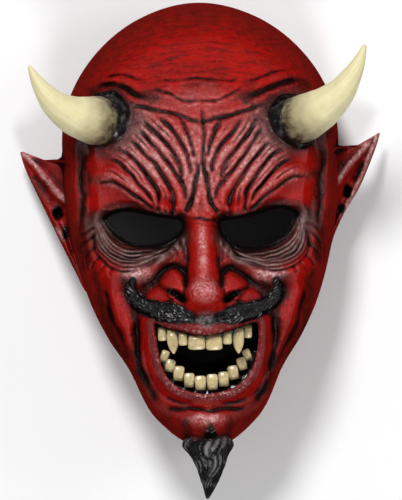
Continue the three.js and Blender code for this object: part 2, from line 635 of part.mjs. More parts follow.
// A row of teeth: a gum strip that follows the mouth's wall and the crowns that stand on it
function toothRow(teeth, [first, last]) {
  const count = MOUTH_OUTLINE.length
  const wall = offsetOutline(MOUTH_OUTLINE, -GUM_GAP)
  const edge = offsetOutline(MOUTH_OUTLINE, -GUM_DEPTH)
  const front = (x, y) => broadHeight(x, y) + LIP_RISE - TEETH_SET_BACK
  const rings = []
  for (let i = first; i <= last; i += 1) {
    const outer = wall[(i + count) % count]
    const inner = edge[(i + count) % count]
    const top = front(...outer)
    const bottom = top - GUM_HEIGHT
    rings.push([[...outer, top], [...inner, top - GUM_SLOPE], [...inner, bottom], [...outer, bottom]])
  }
  let row = solid(loftGeometry(rings))
  for (const tooth of teeth) {
    for (const side of [-1, 1]) row = row.add(crown(tooth, side, front))
  }
  return row
}

function crown({ root, bite, width, pointed }, side, front) {
  const from = new THREE.Vector2(side * root[0], root[1])
  const to = new THREE.Vector2(side * bite[0], bite[1])
  const across = to.clone().sub(from).normalize().rotateAround(new THREE.Vector2(), Math.PI / 2)
  const shape = pointed ? TOOTH_WIDTHS.pointed : TOOTH_WIDTHS.plain
  const level = front(from.x, from.y)
  const rings = shape.map((size, i) => {
    const t = i / (shape.length - 1)
    const middle = from.clone().lerp(to, t)
    const top = level + TOOTH_FORWARD * t
    const bottom = top - TOOTH_THICKNESS * mix(1, TOOTH_EDGE_THINNESS, t)
    const corner = (k, z) => [middle.x + across.x * width * size * k, middle.y + across.y * width * size * k, z]
    const face = [corner(-0.5, top - TOOTH_BEVEL), corner(-0.25, top), corner(0.25, top), corner(0.5, top - TOOTH_BEVEL)]
    return [...face, corner(0.5, bottom), corner(-0.5, bottom)]
  })
  return solid(loftGeometry(rings))
}

// The blank with what is moulded onto it, less the hollow, the horns' sockets, the eyes and the mouth
function buildSkin(cavity) {
  let skin = skinBlank()
  for (const spec of EARS) skin = skin.add(ear(spec))
  for (const horn of HORNS) skin = skin.add(collar(horn))
  for (const side of [-1, 1]) skin = skin.add(moustache(side))
  skin = skin.add(goatee()).subtract(cavity)
  for (const horn of HORNS) skin = skin.subtract(tube(horn.line, HORN_RADIUS, HORN_STEPS, HORN_SIDES, JOINT_GAP))
  for (const side of [-1, 1]) {
    skin = skin.subtract(prism(EYE_OUTLINE.map(([x, y]) => [side * x, y]), () => 0))
  }
  return skin.subtract(prism(MOUTH_OUTLINE, mouthFloor))
}

const mouthWall = prism(offsetOutline(MOUTH_OUTLINE, WALL), (x, y) => mouthFloor(x, y) - WALL)
const cavity = hollow().subtract(mouthWall)

// The finished pieces
function addPiece(group, name, body, material) {
  const mesh = new THREE.Mesh(geometryOf(body), material)
  mesh.name = name
  group.add(mesh)
}

const mask = new THREE.Group()
addPiece(mask, 'mask_skin', buildSkin(cavity), SKIN)
for (const horn of HORNS) {
  addPiece(mask, horn.name, tube(horn.line, HORN_RADIUS, HORN_STEPS, HORN_SIDES).subtract(cavity), HORN)
}
addPiece(mask, 'upper_teeth', toothRow(UPPER_TEETH, UPPER_GUM), TOOTH)
addPiece(mask, 'lower_teeth', toothRow(LOWER_TEETH, LOWER_GUM), TOOTH)

export default mask
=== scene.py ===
# A devil mask of moulded latex, lying face up on its plane rim: the painted skin with its ears,
# moustache and goatee, two horns in raised collars, and two rows of teeth in the open mouth.
# Lists of places are millimetres, (outwards from the middle, up the face), the same on both halves
# unless their comment says otherwise. Meshes are metres.
import math

import bpy
import numpy as np
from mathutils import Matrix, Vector


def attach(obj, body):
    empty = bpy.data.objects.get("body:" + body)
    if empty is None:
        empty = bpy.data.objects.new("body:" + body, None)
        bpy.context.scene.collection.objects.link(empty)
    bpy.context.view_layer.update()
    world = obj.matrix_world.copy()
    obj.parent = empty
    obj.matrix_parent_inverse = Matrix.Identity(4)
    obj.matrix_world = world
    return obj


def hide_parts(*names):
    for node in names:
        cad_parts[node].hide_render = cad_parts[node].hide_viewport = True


bl_info = {
    "name": "Devil mask",
    "version": (1, 0, 0),
    "blender": (4, 5, 0),
    "location": "3D View > Sidebar > Mask",
    "description": "Models and paints a moulded devil mask with horns and teeth",
    "category": "Add Mesh",
}

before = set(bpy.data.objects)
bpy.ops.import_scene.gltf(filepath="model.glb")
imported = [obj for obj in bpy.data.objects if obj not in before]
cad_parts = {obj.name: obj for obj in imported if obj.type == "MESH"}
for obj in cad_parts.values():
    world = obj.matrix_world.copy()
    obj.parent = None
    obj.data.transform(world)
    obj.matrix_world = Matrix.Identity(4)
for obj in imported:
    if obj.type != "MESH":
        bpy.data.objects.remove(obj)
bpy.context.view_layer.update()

# The head: its outline seen from the front is a radius every OUTLINE_STEP degrees, chin to crown
OUTLINE_STEP = 15
OUTLINE_RADIUS = [127, 114, 92, 83.5, 79, 77.5, 79.5, 86, 97.5, 115.5, 130, 140.5, 145.2]
OUTLINE_EDGE_HEIGHT = [66, 64, 60, 56, 52, 48, 45, 43, 41, 40, 38, 37, 36]
HEAD_CENTRE_UP = 6.1
HEAD_HEIGHT = 124
RIM_TAPER = 3
RIM_ROWS = 10
# Up to these heights the mesh is kept whole when it is thinned, and left sharp when it is softened
RIM_KEPT = 7
RIM_SHARP = 5
# The cutters end above the nose and the hollow below the rim, so that they cut right through
CUTTER_TOP = 250.0
HOLLOW_BELOW = -10
FACE_COLUMNS, FACE_ROWS = 268, 384
LINING_COLUMNS, LINING_ROWS = 84, 116
FACE_CROWDING = 0.74
SKIN_TRIANGLES = 197000

# Broad forms: (place, half sizes, rise), and (path, radius, rise, share of fading at each end)
MOUNDS = [
    ((0, 61), (38, 38), 4),
    ((57, 29), (18, 14), 4),
    ((75, 23), (11, 27), 3),
    ((0, -41), (42, 29), 10),
    ((0, -67), (38, 38), 9),
    ((0, -107), (27, 18), 17),
]
RIDGES = {
    "brow": ([(70, 47), (56, 46), (43, 38), (31, 29), (22, 23), (13, 21)],
             [10, 12, 12, 11, 9, 7], [7, 9, 10, 10, 10, 8], (0.25, 0.12)),
    "temple hollow": ([(70, 81), (70, 57), (70, 33), (71, 8)], [6, 7, 8, 7], [-4.5], (0.3, 0.3)),
    "cheekbone": ([(68, -5), (56, -12), (41, -13), (27, -6), (17, 0)],
                  [10, 12, 13, 11, 7], [6, 9, 10, 7, 3], (0.2, 0.15)),
    "cheek fold": ([(60, -10), (57, -20), (55, -31), (50, -47), (44, -64), (39, -83), (32, -98),
                    (22, -109)],
                   [9, 9, 9, 8, 7, 7, 7, 7], [5, 7, 7, 7, 6.5, 6, 5, 3], (0.15, 0.3)),
    "jaw hollow": ([(66, -19), (63, -32), (58, -50), (51, -66)], [7, 7, 6, 5.5], [-4], (0.3, 0.2)),
    "eye bag": ([(64, 16), (61, 6), (52, -1), (41, -3), (30, -2), (20, 2), (14, 8)],
                [7, 8, 8, 8, 8, 7, 6], [3, 4.5, 4.5, 4.5, 4.5, 4, 3], (0.2, 0.2)),
    "upper lid": ([(64, 23), (57, 25), (43, 26), (28, 22), (12, 19)], [4], [4], (0.2, 0.1)),
    "mouth ridge": ([(34, -46), (37, -60), (35, -73), (30, -85)], [4], [2.2], (0.2, 0.3)),
}

# Wrinkles are V-shaped cuts with raised banks: (path, width, depth, share of fading at each end)
FANS = [
    [(13, 82), (9, 74), (5.5, 65), (4, 56)],
    [(26, 84), (22, 79), (16.5, 72.5), (10.5, 63.5), (7, 54.5), (6, 46)],
    [(35.5, 81), (31, 76.5), (24.5, 70), (18, 61.5), (13.5, 53), (11, 44)],
    [(40, 77.5), (36, 73), (29, 65), (23, 57.5), (17.5, 50.5), (13, 43.5), (9.5, 37), (9, 29.5)],
    [(44.5, 69), (35.5, 60.5), (28.5, 54), (23, 45), (18.5, 36.5), (17, 29), (18, 21)],
    [(51, 64), (42.5, 58), (34.5, 49.5), (29.5, 41), (26.5, 34.5), (25.5, 22.5)],
    [(57.5, 56), (50, 54), (43.5, 48.5), (37.5, 41.5), (32, 34), (27.5, 25.5)],
    [(66.5, 42.5), (57, 42.5), (48.5, 39), (40, 34.5), (34, 29.5), (28.5, 24.5)],
]
FAN_CREASE = (1.15, [1.3, 2.1, 2.4, 2.5, 2.4], (0.2, 0.06))
FINE_CREASE = (0.75, [0.7, 1.4, 1.5, 1.2], (0.3, 0.2))
# Lesser creases between two of those: (after which, share of the way across, from, to along it)
FINE_CREASES_BETWEEN = [
    (0, 0.5, 0.1, 0.6), (1, 0.5, 0, 0.5), (2, 0.45, 0.4, 1), (3, 0.5, 0, 0.55),
    (4, 0.5, 0, 0.5), (4, 0.55, 0.6, 1), (5, 0.5, 0.1, 0.7), (6, 0.5, 0, 0.5),
]
STROKES = 40
STROKE_CREASE = (0.6, [0.7], (0.4, 0.4))
ROLL_RADIUS = [4.4, 4.2, 3.4, 2.4]
ROLL_RISE = [2.6, 2.6, 2.4, 1.8]
# How far wrinkles wander, over what distance
WANDER = [(1.1, 26), (0.3, 10)]
WRINKLES = {
    "wing crease": ([(12, -23), (11.2, -17), (12.8, -11.5), (17.5, -8.8), (22.5, -11), (27.5, -15.3),
                     (32, -20), (36.5, -25.5)],
                    2.2, [0.8, 1.6, 2.2, 2.4, 2.2, 1.9, 1.6, 1], (0.1, 0.25)),
    "wing fold": ([(28, -20.5), (23.5, -23), (19.5, -24.5)], 1.3, [1.6], (0.25, 0.25)),
    "nose side": ([(10.2, 9), (10.8, 3), (9.6, -4), (8.2, -9.5)], 1.0, [1.4], (0.25, 0.25)),
    "nose side 2": ([(15.5, 8.5), (13.2, 3.5), (12.4, -2), (10.8, -7.5)], 1.1, [1.6], (0.25, 0.25)),
    "nose side 3": ([(18.5, 4), (16, 0.5), (15, -4)], 0.9, [1.1], (0.25, 0.25)),
    "nose root": ([(11, 19), (5.5, 18.5), (0, 18.5)], 1.2, [1.2, 1.8, 2.2], (0.2, 0)),
    "nose root low": ([(9.5, 16), (4.5, 15.5), (0, 15.8)], 0.9, [0.6, 1.1, 1.1], (0.3, 0)),
    "gull wing": ([(43.5, 89.5), (38, 88.5), (29.5, 86), (19, 84.5), (12.5, 82), (6, 79), (0, 77.3)],
                  1.1, [1.4, 1.8, 2.0, 2.0, 1.8, 1.5], (0.2, 0)),
    "temple arch": ([(62, 100.5), (56, 101.5), (50, 101), (40, 97), (33, 94), (27.5, 94.5)],
                    1.5, [2, 2.8, 2.8, 2.4, 1.6], (0.2, 0.3)),
    "upper arch": ([(59, 105.5), (48.5, 108), (37.5, 104.5), (29, 102.5)], 1.3, [1.3], (0.25, 0.25)),
    "forehead line": ([(29.5, 99.5), (19, 95.5), (9, 90.5)], 1, [1.1], (0.25, 0.25)),
    "forehead middle": ([(13, 92), (6, 90.5), (0, 91)], 1.1, [1.1], (0.3, 0)),
    "forehead top": ([(28.5, 106.5), (18.5, 104), (8.5, 104), (0, 103.5)], 1, [0.8], (0.3, 0)),
    "frown": ([(1.5, 55), (3, 44), (4.5, 35.5), (7, 27.5), (11, 22.5)],
              1.5, [1.5, 2.6, 3.2, 3.6, 3], (0.1, 0.05)),
    "temple fold": ([(73, 66), (72.3, 52), (72.6, 38), (73.4, 22), (74, 8)],
                    1.3, [1.2, 1.8, 1.6, 1.8, 1.4], (0.2, 0.2)),
    "temple fold 2": ([(67.5, 79), (68, 68), (67.3, 57)], 1.1, [1.2], (0.25, 0.25)),
    "crow foot 1": ([(64.5, 15), (70, 13.5), (75, 10.5)], 1, [1.2], (0.25, 0.25)),
    "crow foot 2": ([(65, 10), (71, 7), (75.5, 2)], 1, [1.2], (0.25, 0.25)),
    "crow foot 3": ([(65, 3.5), (70, 0), (73, -5.5)], 1, [1.2], (0.25, 0.25)),
    "crow foot 4": ([(63, -2.5), (66.5, -6), (68.5, -11.5)], 1, [1.2], (0.25, 0.25)),
    "crow foot 5": ([(59.5, -7), (62.5, -11), (64, -16)], 1, [1.2], (0.25, 0.25)),
    "crow foot 6": ([(53.5, -9.5), (56, -12), (57, -15.5)], 1, [1.1], (0.25, 0.25)),
    "mouth side": ([(37.5, -32.5), (40.5, -40.5), (41.5, -48.5), (41, -65.5), (36.5, -80), (31, -90.5),
                    (25, -98)],
                   2.4, [2, 3, 3.6, 3.6, 3.2, 2.4, 1.6], (0.2, 0.25)),
    "mouth line": ([(34, -45), (36.5, -54), (35.5, -69.5), (30.5, -83.5), (24, -92)],
                   1.2, [1.3], (0.25, 0.25)),
    "jaw line": ([(61.5, -18.5), (59.5, -29), (55, -42.5), (48, -60), (43, -73.5)],
                 2, [2.5, 3, 3.2, 2.6, 2], (0.2, 0.25)),
    "jaw line low": ([(66, -28), (61, -42), (55, -56), (50, -68)], 1.3, [1.3], (0.25, 0.25)),
    "chin crease": ([(27, -94.5), (19.5, -96), (12, -96), (6, -97), (0, -97.5)],
                    1.2, [1.2, 1.8, 2, 2.2], (0.2, 0)),
    "lip crease": ([(27.5, -87), (21.5, -90), (14.5, -92), (7.5, -93.5)], 1.1, [1.2], (0.25, 0.25)),
    "eye bag edge": ([(66.5, 14), (66, 0), (57.5, -8.5), (46.5, -11.5), (35, -9), (24.5, -3.5), (15.5, 4)],
                     1.3, [1.4, 1.8, 1.8, 1.4], (0.1, 0.1)),
}
# This one runs down the middle of the forehead; its places are not folded
MIDDLE_CREASE = ([(1.5, 88), (2, 72.5), (1.5, 60), (1.5, 50)], 1.1, [1.3, 1.8, 2.2, 2], (0.2, 0.05))
BAG_INNER = [(61.5, 19.5), (56.5, 12.5), (46, 5.5), (35.5, 3), (25, 2.5), (17, 6.5), (12.5, 11.5)]
BAG_OUTER = [(66.5, 14.5), (66, 1), (57.5, -7.5), (46.5, -10), (35, -8), (24.5, -2.5), (15.5, 4.5)]
BAG_RINGS, BAG_STROKES = 7, 12
SKULL_SCRATCHES = 60
# Dark airbrushing, partly the mask's own paint and partly painted shade in the creases, under the brows and
# round the horns: (path, half-width, strength)
SHADES = [
    ([(40, -33), (42.5, -42), (43, -51), (41.5, -65), (37, -79), (32, -89)], 4.6, 0.8),
    ([(11, -20), (12.5, -12), (17, -8.5), (24, -11.5), (31, -18), (36, -25)], 4.6, 0.8),
    ([(36, -20), (39, -27)], 5, 0.85),
    ([(27, -21), (22, -24)], 3, 0.5),
    ([(15, 22), (13, 10), (11.5, 0), (10.5, -10)], 4, 0.45),
    ([(46, -18), (46, -25), (42, -31), (35, -35), (22, -38), (8, -41)], 8, 0.8),
    ([(73, 84), (72.5, 60), (72, 35), (73, 12), (72, -6)], 6, 0.85),
    ([(66, -14), (62, -32), (57, -49), (50, -64)], 5, 0.6),
    ([(68, 18), (61, 25), (45, 27), (28, 23.5), (13, 20)], 5, 0.7),
    ([(20, -96), (10, -96), (0, -97.5)], 3.2, 0.45),
    ([(1.5, 56), (4, 42), (8, 27), (12, 20)], 4, 0.6),
    ([(44, 90), (30, 86), (12, 82), (0, 77)], 3.5, 0.5),
    ([(66, 98), (56, 101), (40, 97), (28, 94)], 5, 0.8),
    ([(68, 44), (56, 43), (46, 37), (36, 30)], 4, 0.5),
    ([(0, -108), (0, -114)], 9, 0.7),
    ([(14, -106), (12, -112)], 6, 0.9),
    ([(52, 77), (60, 78)], 29, 1.3),
    ([(23, 95), (34, 88), (34, 72)], 7, 0.5),
]
# Pale paint dry-brushed on the brows and forehead, painted highlight on the cheekbones, nose and chin; on
# their crests flecked almost white as painted glints: (place, half sizes, strength)
PALE = [
    ((32, 60), (27, 36), 1.0), ((4, 52), (17, 36), 0.8), ((40, -13), (15, 8), 1.0), ((0, -102), (15, 6), 0.6),
    ((0, -24), (11, 11), 0.5), ((0, 0), (5, 26), 0.35), ((0, 92), (32, 13), 0.4), ((58, 43), (12, 9), 0.4),
]
# Painted highlights: glints flecked almost white on the cheekbones, nose tip, chin and nose bridge: (place,
# half sizes, strength)
GLEAMS = [
    ((40.5, -13), (12, 5.5), 1.0), ((0, -22), (9, 9), 0.5), ((4, -102), (10, 3.6), 0.9),
    ((0, 2), (3.5, 20), 0.4),
]

# The nose: rise and half-width of its broad body and of its round bridge at places down its length
NOSE_UP = [27, 22, 17, 6, -6, -18, -25, -30, -34, -38, -42]
NOSE_BODY_RISE = [0, 1, 2, 5, 8, 10, 11, 9, 6, 2, 0]
NOSE_BODY_HALF = [15, 16, 17, 20, 23, 29, 33, 33, 31, 27, 24]
NOSE_BRIDGE_RISE = [0, 2.5, 5, 9, 13, 17, 19, 19, 15, 7, 0]
NOSE_BRIDGE_HALF = [7, 7, 7.2, 8, 9, 10.2, 11.5, 12, 12, 11, 9]
NOSE_TIP = ((0, -25.5), (11.4, 11.2), 21, 0)
# Lumps beside the tip: (place, half sizes, rise, turn)
NOSE_WINGS = [((18.6, -20), (8.4, 9.2), 9, -14), ((27, -27.5), (9, 5.6), 4, -28)]
NOSTRIL = ([(20.5, -24.5), (16.5, -26.5), (12.4, -30)], [3.2, 3.6, 3], [-5, -8, -7], (0.2, 0.05))
NOSTRIL_BLACK = 2.5

EYE_OUTLINE = [(58, 20), (52, 23.5), (43, 24), (28, 20.5), (14, 18), (13, 13), (18, 8.5), (26, 5), (36, 4.5),
               (46, 7), (54, 13)]
EYE_SOCKET_REACH, EYE_SOCKET_DEPTH = 8, 7
MOUTH_HALF = [(0, -50.5), (7, -50.5), (15, -48.5), (24, -45.5), (31, -43.5), (33, -50), (32, -62), (29, -73),
              (23, -82), (14, -88), (0, -90)]
MOUTH_OUTLINE = MOUTH_HALF + [(-x, y) for x, y in MOUTH_HALF[-2:0:-1]]
MOUTH_DEPTH, MOUTH_FLOOR_FLATNESS = 24, 0.8
# The edge of the lips, not folded: they hang over the mouth's wall
LIP_OUTLINE = [(-30.5, -44.5), (-23.5, -46.5), (-15, -48.8), (-7, -51), (0, -52), (7, -51), (15, -49),
               (24, -46.2), (31, -44.8), (32.2, -50), (31.4, -60), (28.4, -71), (22.5, -79.5), (13.5, -84.8),
               (-0.5, -87), (-13.5, -84.3), (-21.5, -79), (-26.5, -70), (-28.8, -58)]
LIP_REACH, LIP_RISE, LIP_THICKNESS = 6, 4.8, 1.7

MOUSTACHE = [(43, -17.5), (44.2, -23), (41.5, -29.5), (36, -33.5), (28.5, -36), (20.5, -37.8), (14, -39.2),
             (9, -40.6)]
MOUSTACHE_RADIUS = [2.2, 3.6, 4.5, 5, 5.5, 5.9, 5.4, 3.4]
MOUSTACHE_RISE = [2.2, 3.6, 4.6, 5.2, 5.7, 6, 5.2, 2.6]
STRAND_PITCH, STRAND_SLANT, STRAND_DEPTH = 2.2, 0.8, 0.42
# The goatee's sections, not folded: (middle x, y, z), (half width, half thickness)
GOATEE = [
    ((0, -104, 88), (4, 5)), ((0, -111, 87), (10, 8.5)), ((0, -118, 85.5), (15.5, 10)),
    ((0.5, -125, 84.5), (11.5, 9)), ((1, -133, 83.5), (8, 7.5)), ((0.5, -142, 84), (4.6, 5)),
    ((-0.5, -148, 86), (2.2, 2.6)), ((-1.2, -151.3, 87.5), (0.6, 0.6)),
]
GOATEE_RINGS, GOATEE_SIDES, GOATEE_STRANDS = 72, 72, 17
# The tuft that climbs the chin from it, not folded
CHIN_TUFT = ([(2.2, -105), (2, -110), (1.5, -116)], [2.2, 4, 6], [0.8, 1.8, 2.6], (0.35, 0))

# Each ear from its own root line on the head to its own free edge, lobe to tip, then its own relief,
# not folded: (path, radius, rise)
EARS = [
    {"side": -1, "dip": 4.5,
     "root": [(67, -26), (71, -12), (73, 6), (72, 26), (73, 44), (78, 56)],
     "edge": [(72, -24), (78, -11), (87, 8), (98.5, 33), (107, 52), (110.4, 64)],
     "relief": [
         ([(-109, 63), (-101, 54), (-94, 45), (-87, 36), (-80, 30)], [2, 3.6, 4.6, 5, 4.5], 5),
         ([(-104, 51), (-98.5, 42), (-94, 34), (-91, 27)], [1.8, 3.2, 3.8, 3], -3),
         ([(-89.5, 27.5), (-88, 24), (-86.5, 21)], [4.2], -8),
         ([(-88.5, 15), (-86.5, 12), (-85, 9)], [2.4, 2.8, 2], 4.5),
         ([(-83.5, 14), (-81.5, 7), (-80, -2)], [2], -3),
     ],
     "black": [((-88.4, 25.5), (3.6, 5)), ((-83.5, 13), (2, 5))], "grey": ((-96.5, 41), (5, 9))},
    {"side": 1, "dip": 5.5,
     "root": [(69, -26), (72, -12), (73, 6), (73, 26), (75, 44), (81, 60)],
     "edge": [(70.5, -25), (76, -7), (80, 7), (87, 21), (97, 37), (106, 57), (110.4, 69.5)],
     "relief": [
         ([(109, 68), (104, 56), (98.5, 44), (92, 31), (86, 18)], [1.8, 2.6, 3, 2.8, 2], 3.4),
         ([(104, 63.5), (97, 56.5), (90, 49), (84, 41), (79, 33)], [2, 3.2, 4, 4.4, 4], 5),
         ([(100.5, 53), (96.4, 45.7), (92, 39)], [2, 3.2, 3], -3),
         ([(90.5, 37), (89.2, 33.7), (88, 30)], [3.6], -8),
         ([(87, 25.5), (84.5, 21)], [2.6], -4),
         ([(91.5, 26), (88.5, 22.5), (86, 17)], [1.8], 3),
     ],
     "black": [((89.1, 33.7), (2.6, 5)), ((85.2, 23), (2.4, 3.4))], "grey": ((96.4, 46), (3.6, 6))},
]
EAR_FRONT_ROOT = [55, 61, 64, 62, 58, 54]
EAR_FRONT_EDGE = [48, 42, 35, 28, 22, 18]
EAR_ROOT_THICKNESS, EAR_EDGE_THICKNESS, EAR_TIP_THINNING = 13, 2.6, 0.35
EAR_FILLET, EAR_FILLET_SHARE = 13, 0.32
EAR_STEPS, EAR_ACROSS, EAR_ROUND = 72, 46, 5
EAR_REACH = 110.4

# The horns, not folded: the middle line, base to tip, and the radius along it
HORNS = {
    "horn_left": [(-50, 79, 83), (-58.5, 79.7, 93.5), (-67, 81, 102), (-77, 84, 109), (-86.5, 90, 114),
                  (-93.5, 98, 116.5), (-98.7, 106.5, 117.5), (-102.5, 114.5, 118)],
    "horn_right": [(49, 74.5, 83), (56.5, 76, 93.5), (65.5, 79.5, 102), (76, 85, 109), (86, 93.5, 114),
                   (93, 103.5, 116.5), (98, 113, 117.5), (101.5, 122, 118)],
}
HORN_RADIUS = [15, 15.3, 14.6, 12.6, 9.8, 7, 4.2, 1.1]
HORN_RINGS, HORN_SIDES = 130, 72
# The horn is drawn thinner by this share of its radius, for its carving. Its hole has a gap round it
HORN_SLACK = 0.008
SOCKET_GAP = 0.65
COLLAR_END, COLLAR_RINGS, COLLAR_SIDES = 0.235, 16, 84
# The collar's stand-off from the horn, from where it is buried to its lip
COLLAR_PROFILE = [3.6, 3.5, 3.4, 3.3, 3.2, 3.1, 2.8, 2.2, 1.2, -0.4]

# The teeth of one half, middle first: (root, bite, width, pointed)
UPPER_TEETH = [
    ((5.2, -51.2), (5.15, -60.2), 9.8, False), ((13.5, -49.4), (13.2, -57.6), 5.3, False),
    ((20, -47.8), (19.4, -62.6), 6.9, True), ((26.2, -46.4), (25.8, -54.2), 5.2, False),
]
LOWER_TEETH = [
    ((3.6, -85.3), (3.5, -75.8), 6.9, False), ((10.6, -83.2), (10.1, -74.2), 6.7, False),
    ((17.2, -79), (16, -70.6), 6.4, False), ((22.8, -73.4), (20.6, -65.8), 6, False),
    ((26.4, -67.2), (23.8, -60.8), 5.2, False),
]
UPPER_GUM, LOWER_GUM = (-4, 4), (6, 14)
GUM_GAP, GUM_DEPTH, GUM_HEIGHT, GUM_RINGS = 0.5, 6.5, 9, 72
LIP_FRONT, TEETH_SET_BACK = 3.5, 5
CROWN_RINGS, CROWN_SIDES, TOOTH_THICKNESS = 16, 24, 6
PLAIN_CROWN = [0.88, 0.94, 0.98, 1.01, 1.03, 1.04, 1.03, 0.97]
POINTED_CROWN = [0.86, 0.95, 1, 1, 0.94, 0.8, 0.55, 0.2]

# Where the skin's faces come from, so that its paint can follow them
REGIONS = ["face", "ear", "collar", "goatee", "inside", "socket", "eye edge", "mouth pocket", "gum", "crown"]

MM = 0.001
# The floor's gap below the rim in millimetres, and how many lines of points it has each way
FLOOR_LEVEL, FLOOR_LINES = -0.2, 9
# The camera, in metres
VIEW_SPAN = 0.305
VIEW_DISTANCE = 9.0
VIEW_ROLL = math.radians(-1.5)
VIEW_OFFSET = -0.0012
VIEW_FOCUS_HEIGHT = 0.06
# The lights, in metres and watts: name, place, what it is aimed at, width, power
LIGHTS = [
    ("key", (-0.3, 1.05, 1.75), (0, 0.02, 0.08), 0.45, 31),
    ("low", (0.2, -1.1, 1.5), (0, 0, 0.08), 0.5, 11),
    ("side", (1.4, 0.3, 1.2), (0, 0, 0.08), 0.8, 5),
]
SKY_COLOUR = (0.9, 0.92, 0.95, 1)
SKY_STRENGTH = 0.22


def between(a, b, c, d, t):
    """A smooth value from b at t = 0 to c at t = 1, with a before them and d after."""
    return 0.5 * (2 * b + (c - a) * t + (2 * a - 5 * b + 4 * c - d) * t**2 + (3 * b - a - 3 * c + d) * t**3)


def smooth_path(points, spans=6):
    """A smooth line through the points."""
    p = np.array(points, float)
    p = np.vstack([2 * p[0] - p[1], p, 2 * p[-1] - p[-2]])
    t = np.arange(spans)[:, None] / spans
    parts = [between(a, b, c, d, t) for a, b, c, d in zip(p[:-3], p[1:-2], p[2:-1], p[3:])]
    return np.vstack(parts + [p[-2:-1]])


def smooth_loop(points, spans=6):
    """A smooth closed line through the points."""
    whole = list(points[-2:]) + list(points) + list(points[:2])
    line = smooth_path(whole, spans)
    return line[2 * spans:-2 * spans - 1][:len(points) * spans]


def lengthwise(line):
    """How far along the line each of its points lies, 0 to 1."""
    steps = np.linalg.norm(np.diff(line, axis=0), axis=1)
    return np.concatenate([[0], np.cumsum(steps)]) / steps.sum()


def evenly(line, count):
    """The line again, as so many points an even distance apart."""
    t = lengthwise(line)
    return np.stack([np.interp(np.linspace(0, 1, count), t, line[:, k]) for k in range(line.shape[1])], 1)


def listed(values, t):
    """A value from a list that runs from t = 0 to t = 1."""
    if len(values) == 1:
        return np.full_like(t, values[0], float)
    return np.interp(t, np.linspace(0, 1, len(values)), values)


def ease(t):
    """From 0 to 1 with soft ends."""
    t = np.clip(t, 0, 1)
    return t * t * (3 - 2 * t)


def bump(q):
    """A soft hill, 1 in its middle and 0 from a distance of 1."""
    return (1 - np.clip(q, 0, 1) ** 2) ** 2


def smooth_max(a, b, k):
    """The higher of two heights, blended over about k where they meet."""
    h = np.clip(0.5 + 0.5 * (a - b) / k, 0, 1)
    return b * (1 - h) + a * h + k * h * (1 - h)


def fading(t, ends):
    """1, easing to 0 over a share of the length at each end."""
    start, end = ends
    return (ease(t / start) if start else 1) * (ease((1 - t) / end) if end else 1)


def nearest(x, y, line, reach):
    """Distance to the line where it is within reach, the share of its length, and which side it is on."""
    along = lengthwise(line)
    distance, t, side = np.full(x.shape, 9.0 * reach), np.zeros(x.shape), np.ones(x.shape)
    low, high = line.min(0) - reach, line.max(0) + reach
    near = (x > low[0]) & (x < high[0]) & (y > low[1]) & (y < high[1])
    px, py = x[near], y[near]
    best, best_t, best_side = np.full(px.shape, 9.0 * reach), np.zeros(px.shape), np.ones(px.shape)
    for (ax, ay), (bx, by), t0, t1 in zip(line[:-1], line[1:], along[:-1], along[1:]):
        vx, vy = bx - ax, by - ay
        s = np.clip(((px - ax) * vx + (py - ay) * vy) / max(vx * vx + vy * vy, 1e-9), 0, 1)
        ex, ey = px - ax - s * vx, py - ay - s * vy
        d = np.hypot(ex, ey)
        closer = d < best
        best[closer] = d[closer]
        best_t[closer] = (t0 + s * (t1 - t0))[closer]
        best_side[closer] = np.sign(vx * ey - vy * ex)[closer]
    distance[near], t[near], side[near] = best, best_t, best_side
    return distance, t, side


def outline_distance(x, y, loop):
    """Distance to a closed line, negative inside it."""
    distance, inside = np.full(x.shape, 1e9), np.zeros(x.shape, bool)
    for (ax, ay), (bx, by) in zip(loop, np.roll(loop, -1, axis=0)):
        vx, vy = bx - ax, by - ay
        s = np.clip(((x - ax) * vx + (y - ay) * vy) / max(vx * vx + vy * vy, 1e-9), 0, 1)
        distance = np.minimum(distance, np.hypot(x - ax - s * vx, y - ay - s * vy))
        if abs(vy) > 1e-9:
            inside ^= ((ay > y) != (by > y)) & (x < vx * (y - ay) / vy + ax)
    return np.where(inside, -distance, distance)


def uneven(x, y, cell, seed):
    """Soft random waves about as long as the cell, from -1 to 1."""
    rng = np.random.default_rng(seed)
    total = np.zeros(np.shape(x))
    for _ in range(7):
        angle = rng.uniform(0, 2 * np.pi)
        phase = rng.uniform(0, 2 * np.pi)
        size = cell * rng.uniform(0.7, 1.5)
        total = total + np.sin((x * np.cos(angle) + y * np.sin(angle)) * 2 * np.pi / size + phase)
    return total / 4


def outline_value(values, x, y):
    """A value listed around the head's outline, smoothly between its places."""
    v = np.array([values[1], *values, values[-2], values[-3]], float)
    place = (np.degrees(np.arctan2(y - HEAD_CENTRE_UP, np.abs(x) + 1e-9)) + 90) / OUTLINE_STEP
    i = np.clip(np.floor(place).astype(int), 0, len(values) - 2)
    t = place - i
    return between(v[i], v[i + 1], v[i + 2], v[i + 3], t)


def fold(x, y):
    """Both halves as one. A cast face is never quite even, so the right half wanders a little."""
    part = np.clip(np.abs(x) / 18, 0, 1) * (x > 0)
    dx = 1.3 * np.sin(y / 17 + 1) + 0.8 * np.sin(x / 9 + y / 23)
    dy = 1.0 * np.sin(x / 13 - 0.5) + 0.8 * np.sin(y / 11 + 2) + 1.2
    return np.abs(x + part * dx), y + part * dy


def unfold(out, up, side):
    """Where a place of the folded face lies on one half."""
    out, up = np.array(out, float), np.array(up, float)
    x, y = side * out, up.copy()
    for _ in range(12):
        now_out, now_up = fold(x, y)
        x, y = x + side * (out - now_out), y + up - now_up
    return x, y


def oval(x, y, place, size):
    """Distance from a place, 1 on the oval of those half sizes round it."""
    return np.hypot((x - place[0]) / size[0], (y - place[1]) / size[1])


def ridge(x, y, path, radius, rise, ends):
    """A rounded ridge along a path, or a furrow where the rise is negative."""
    distance, t, _ = nearest(x, y, smooth_path(path), max(radius))
    return listed(rise, t) * bump(distance / listed(radius, t)) * fading(t, ends)


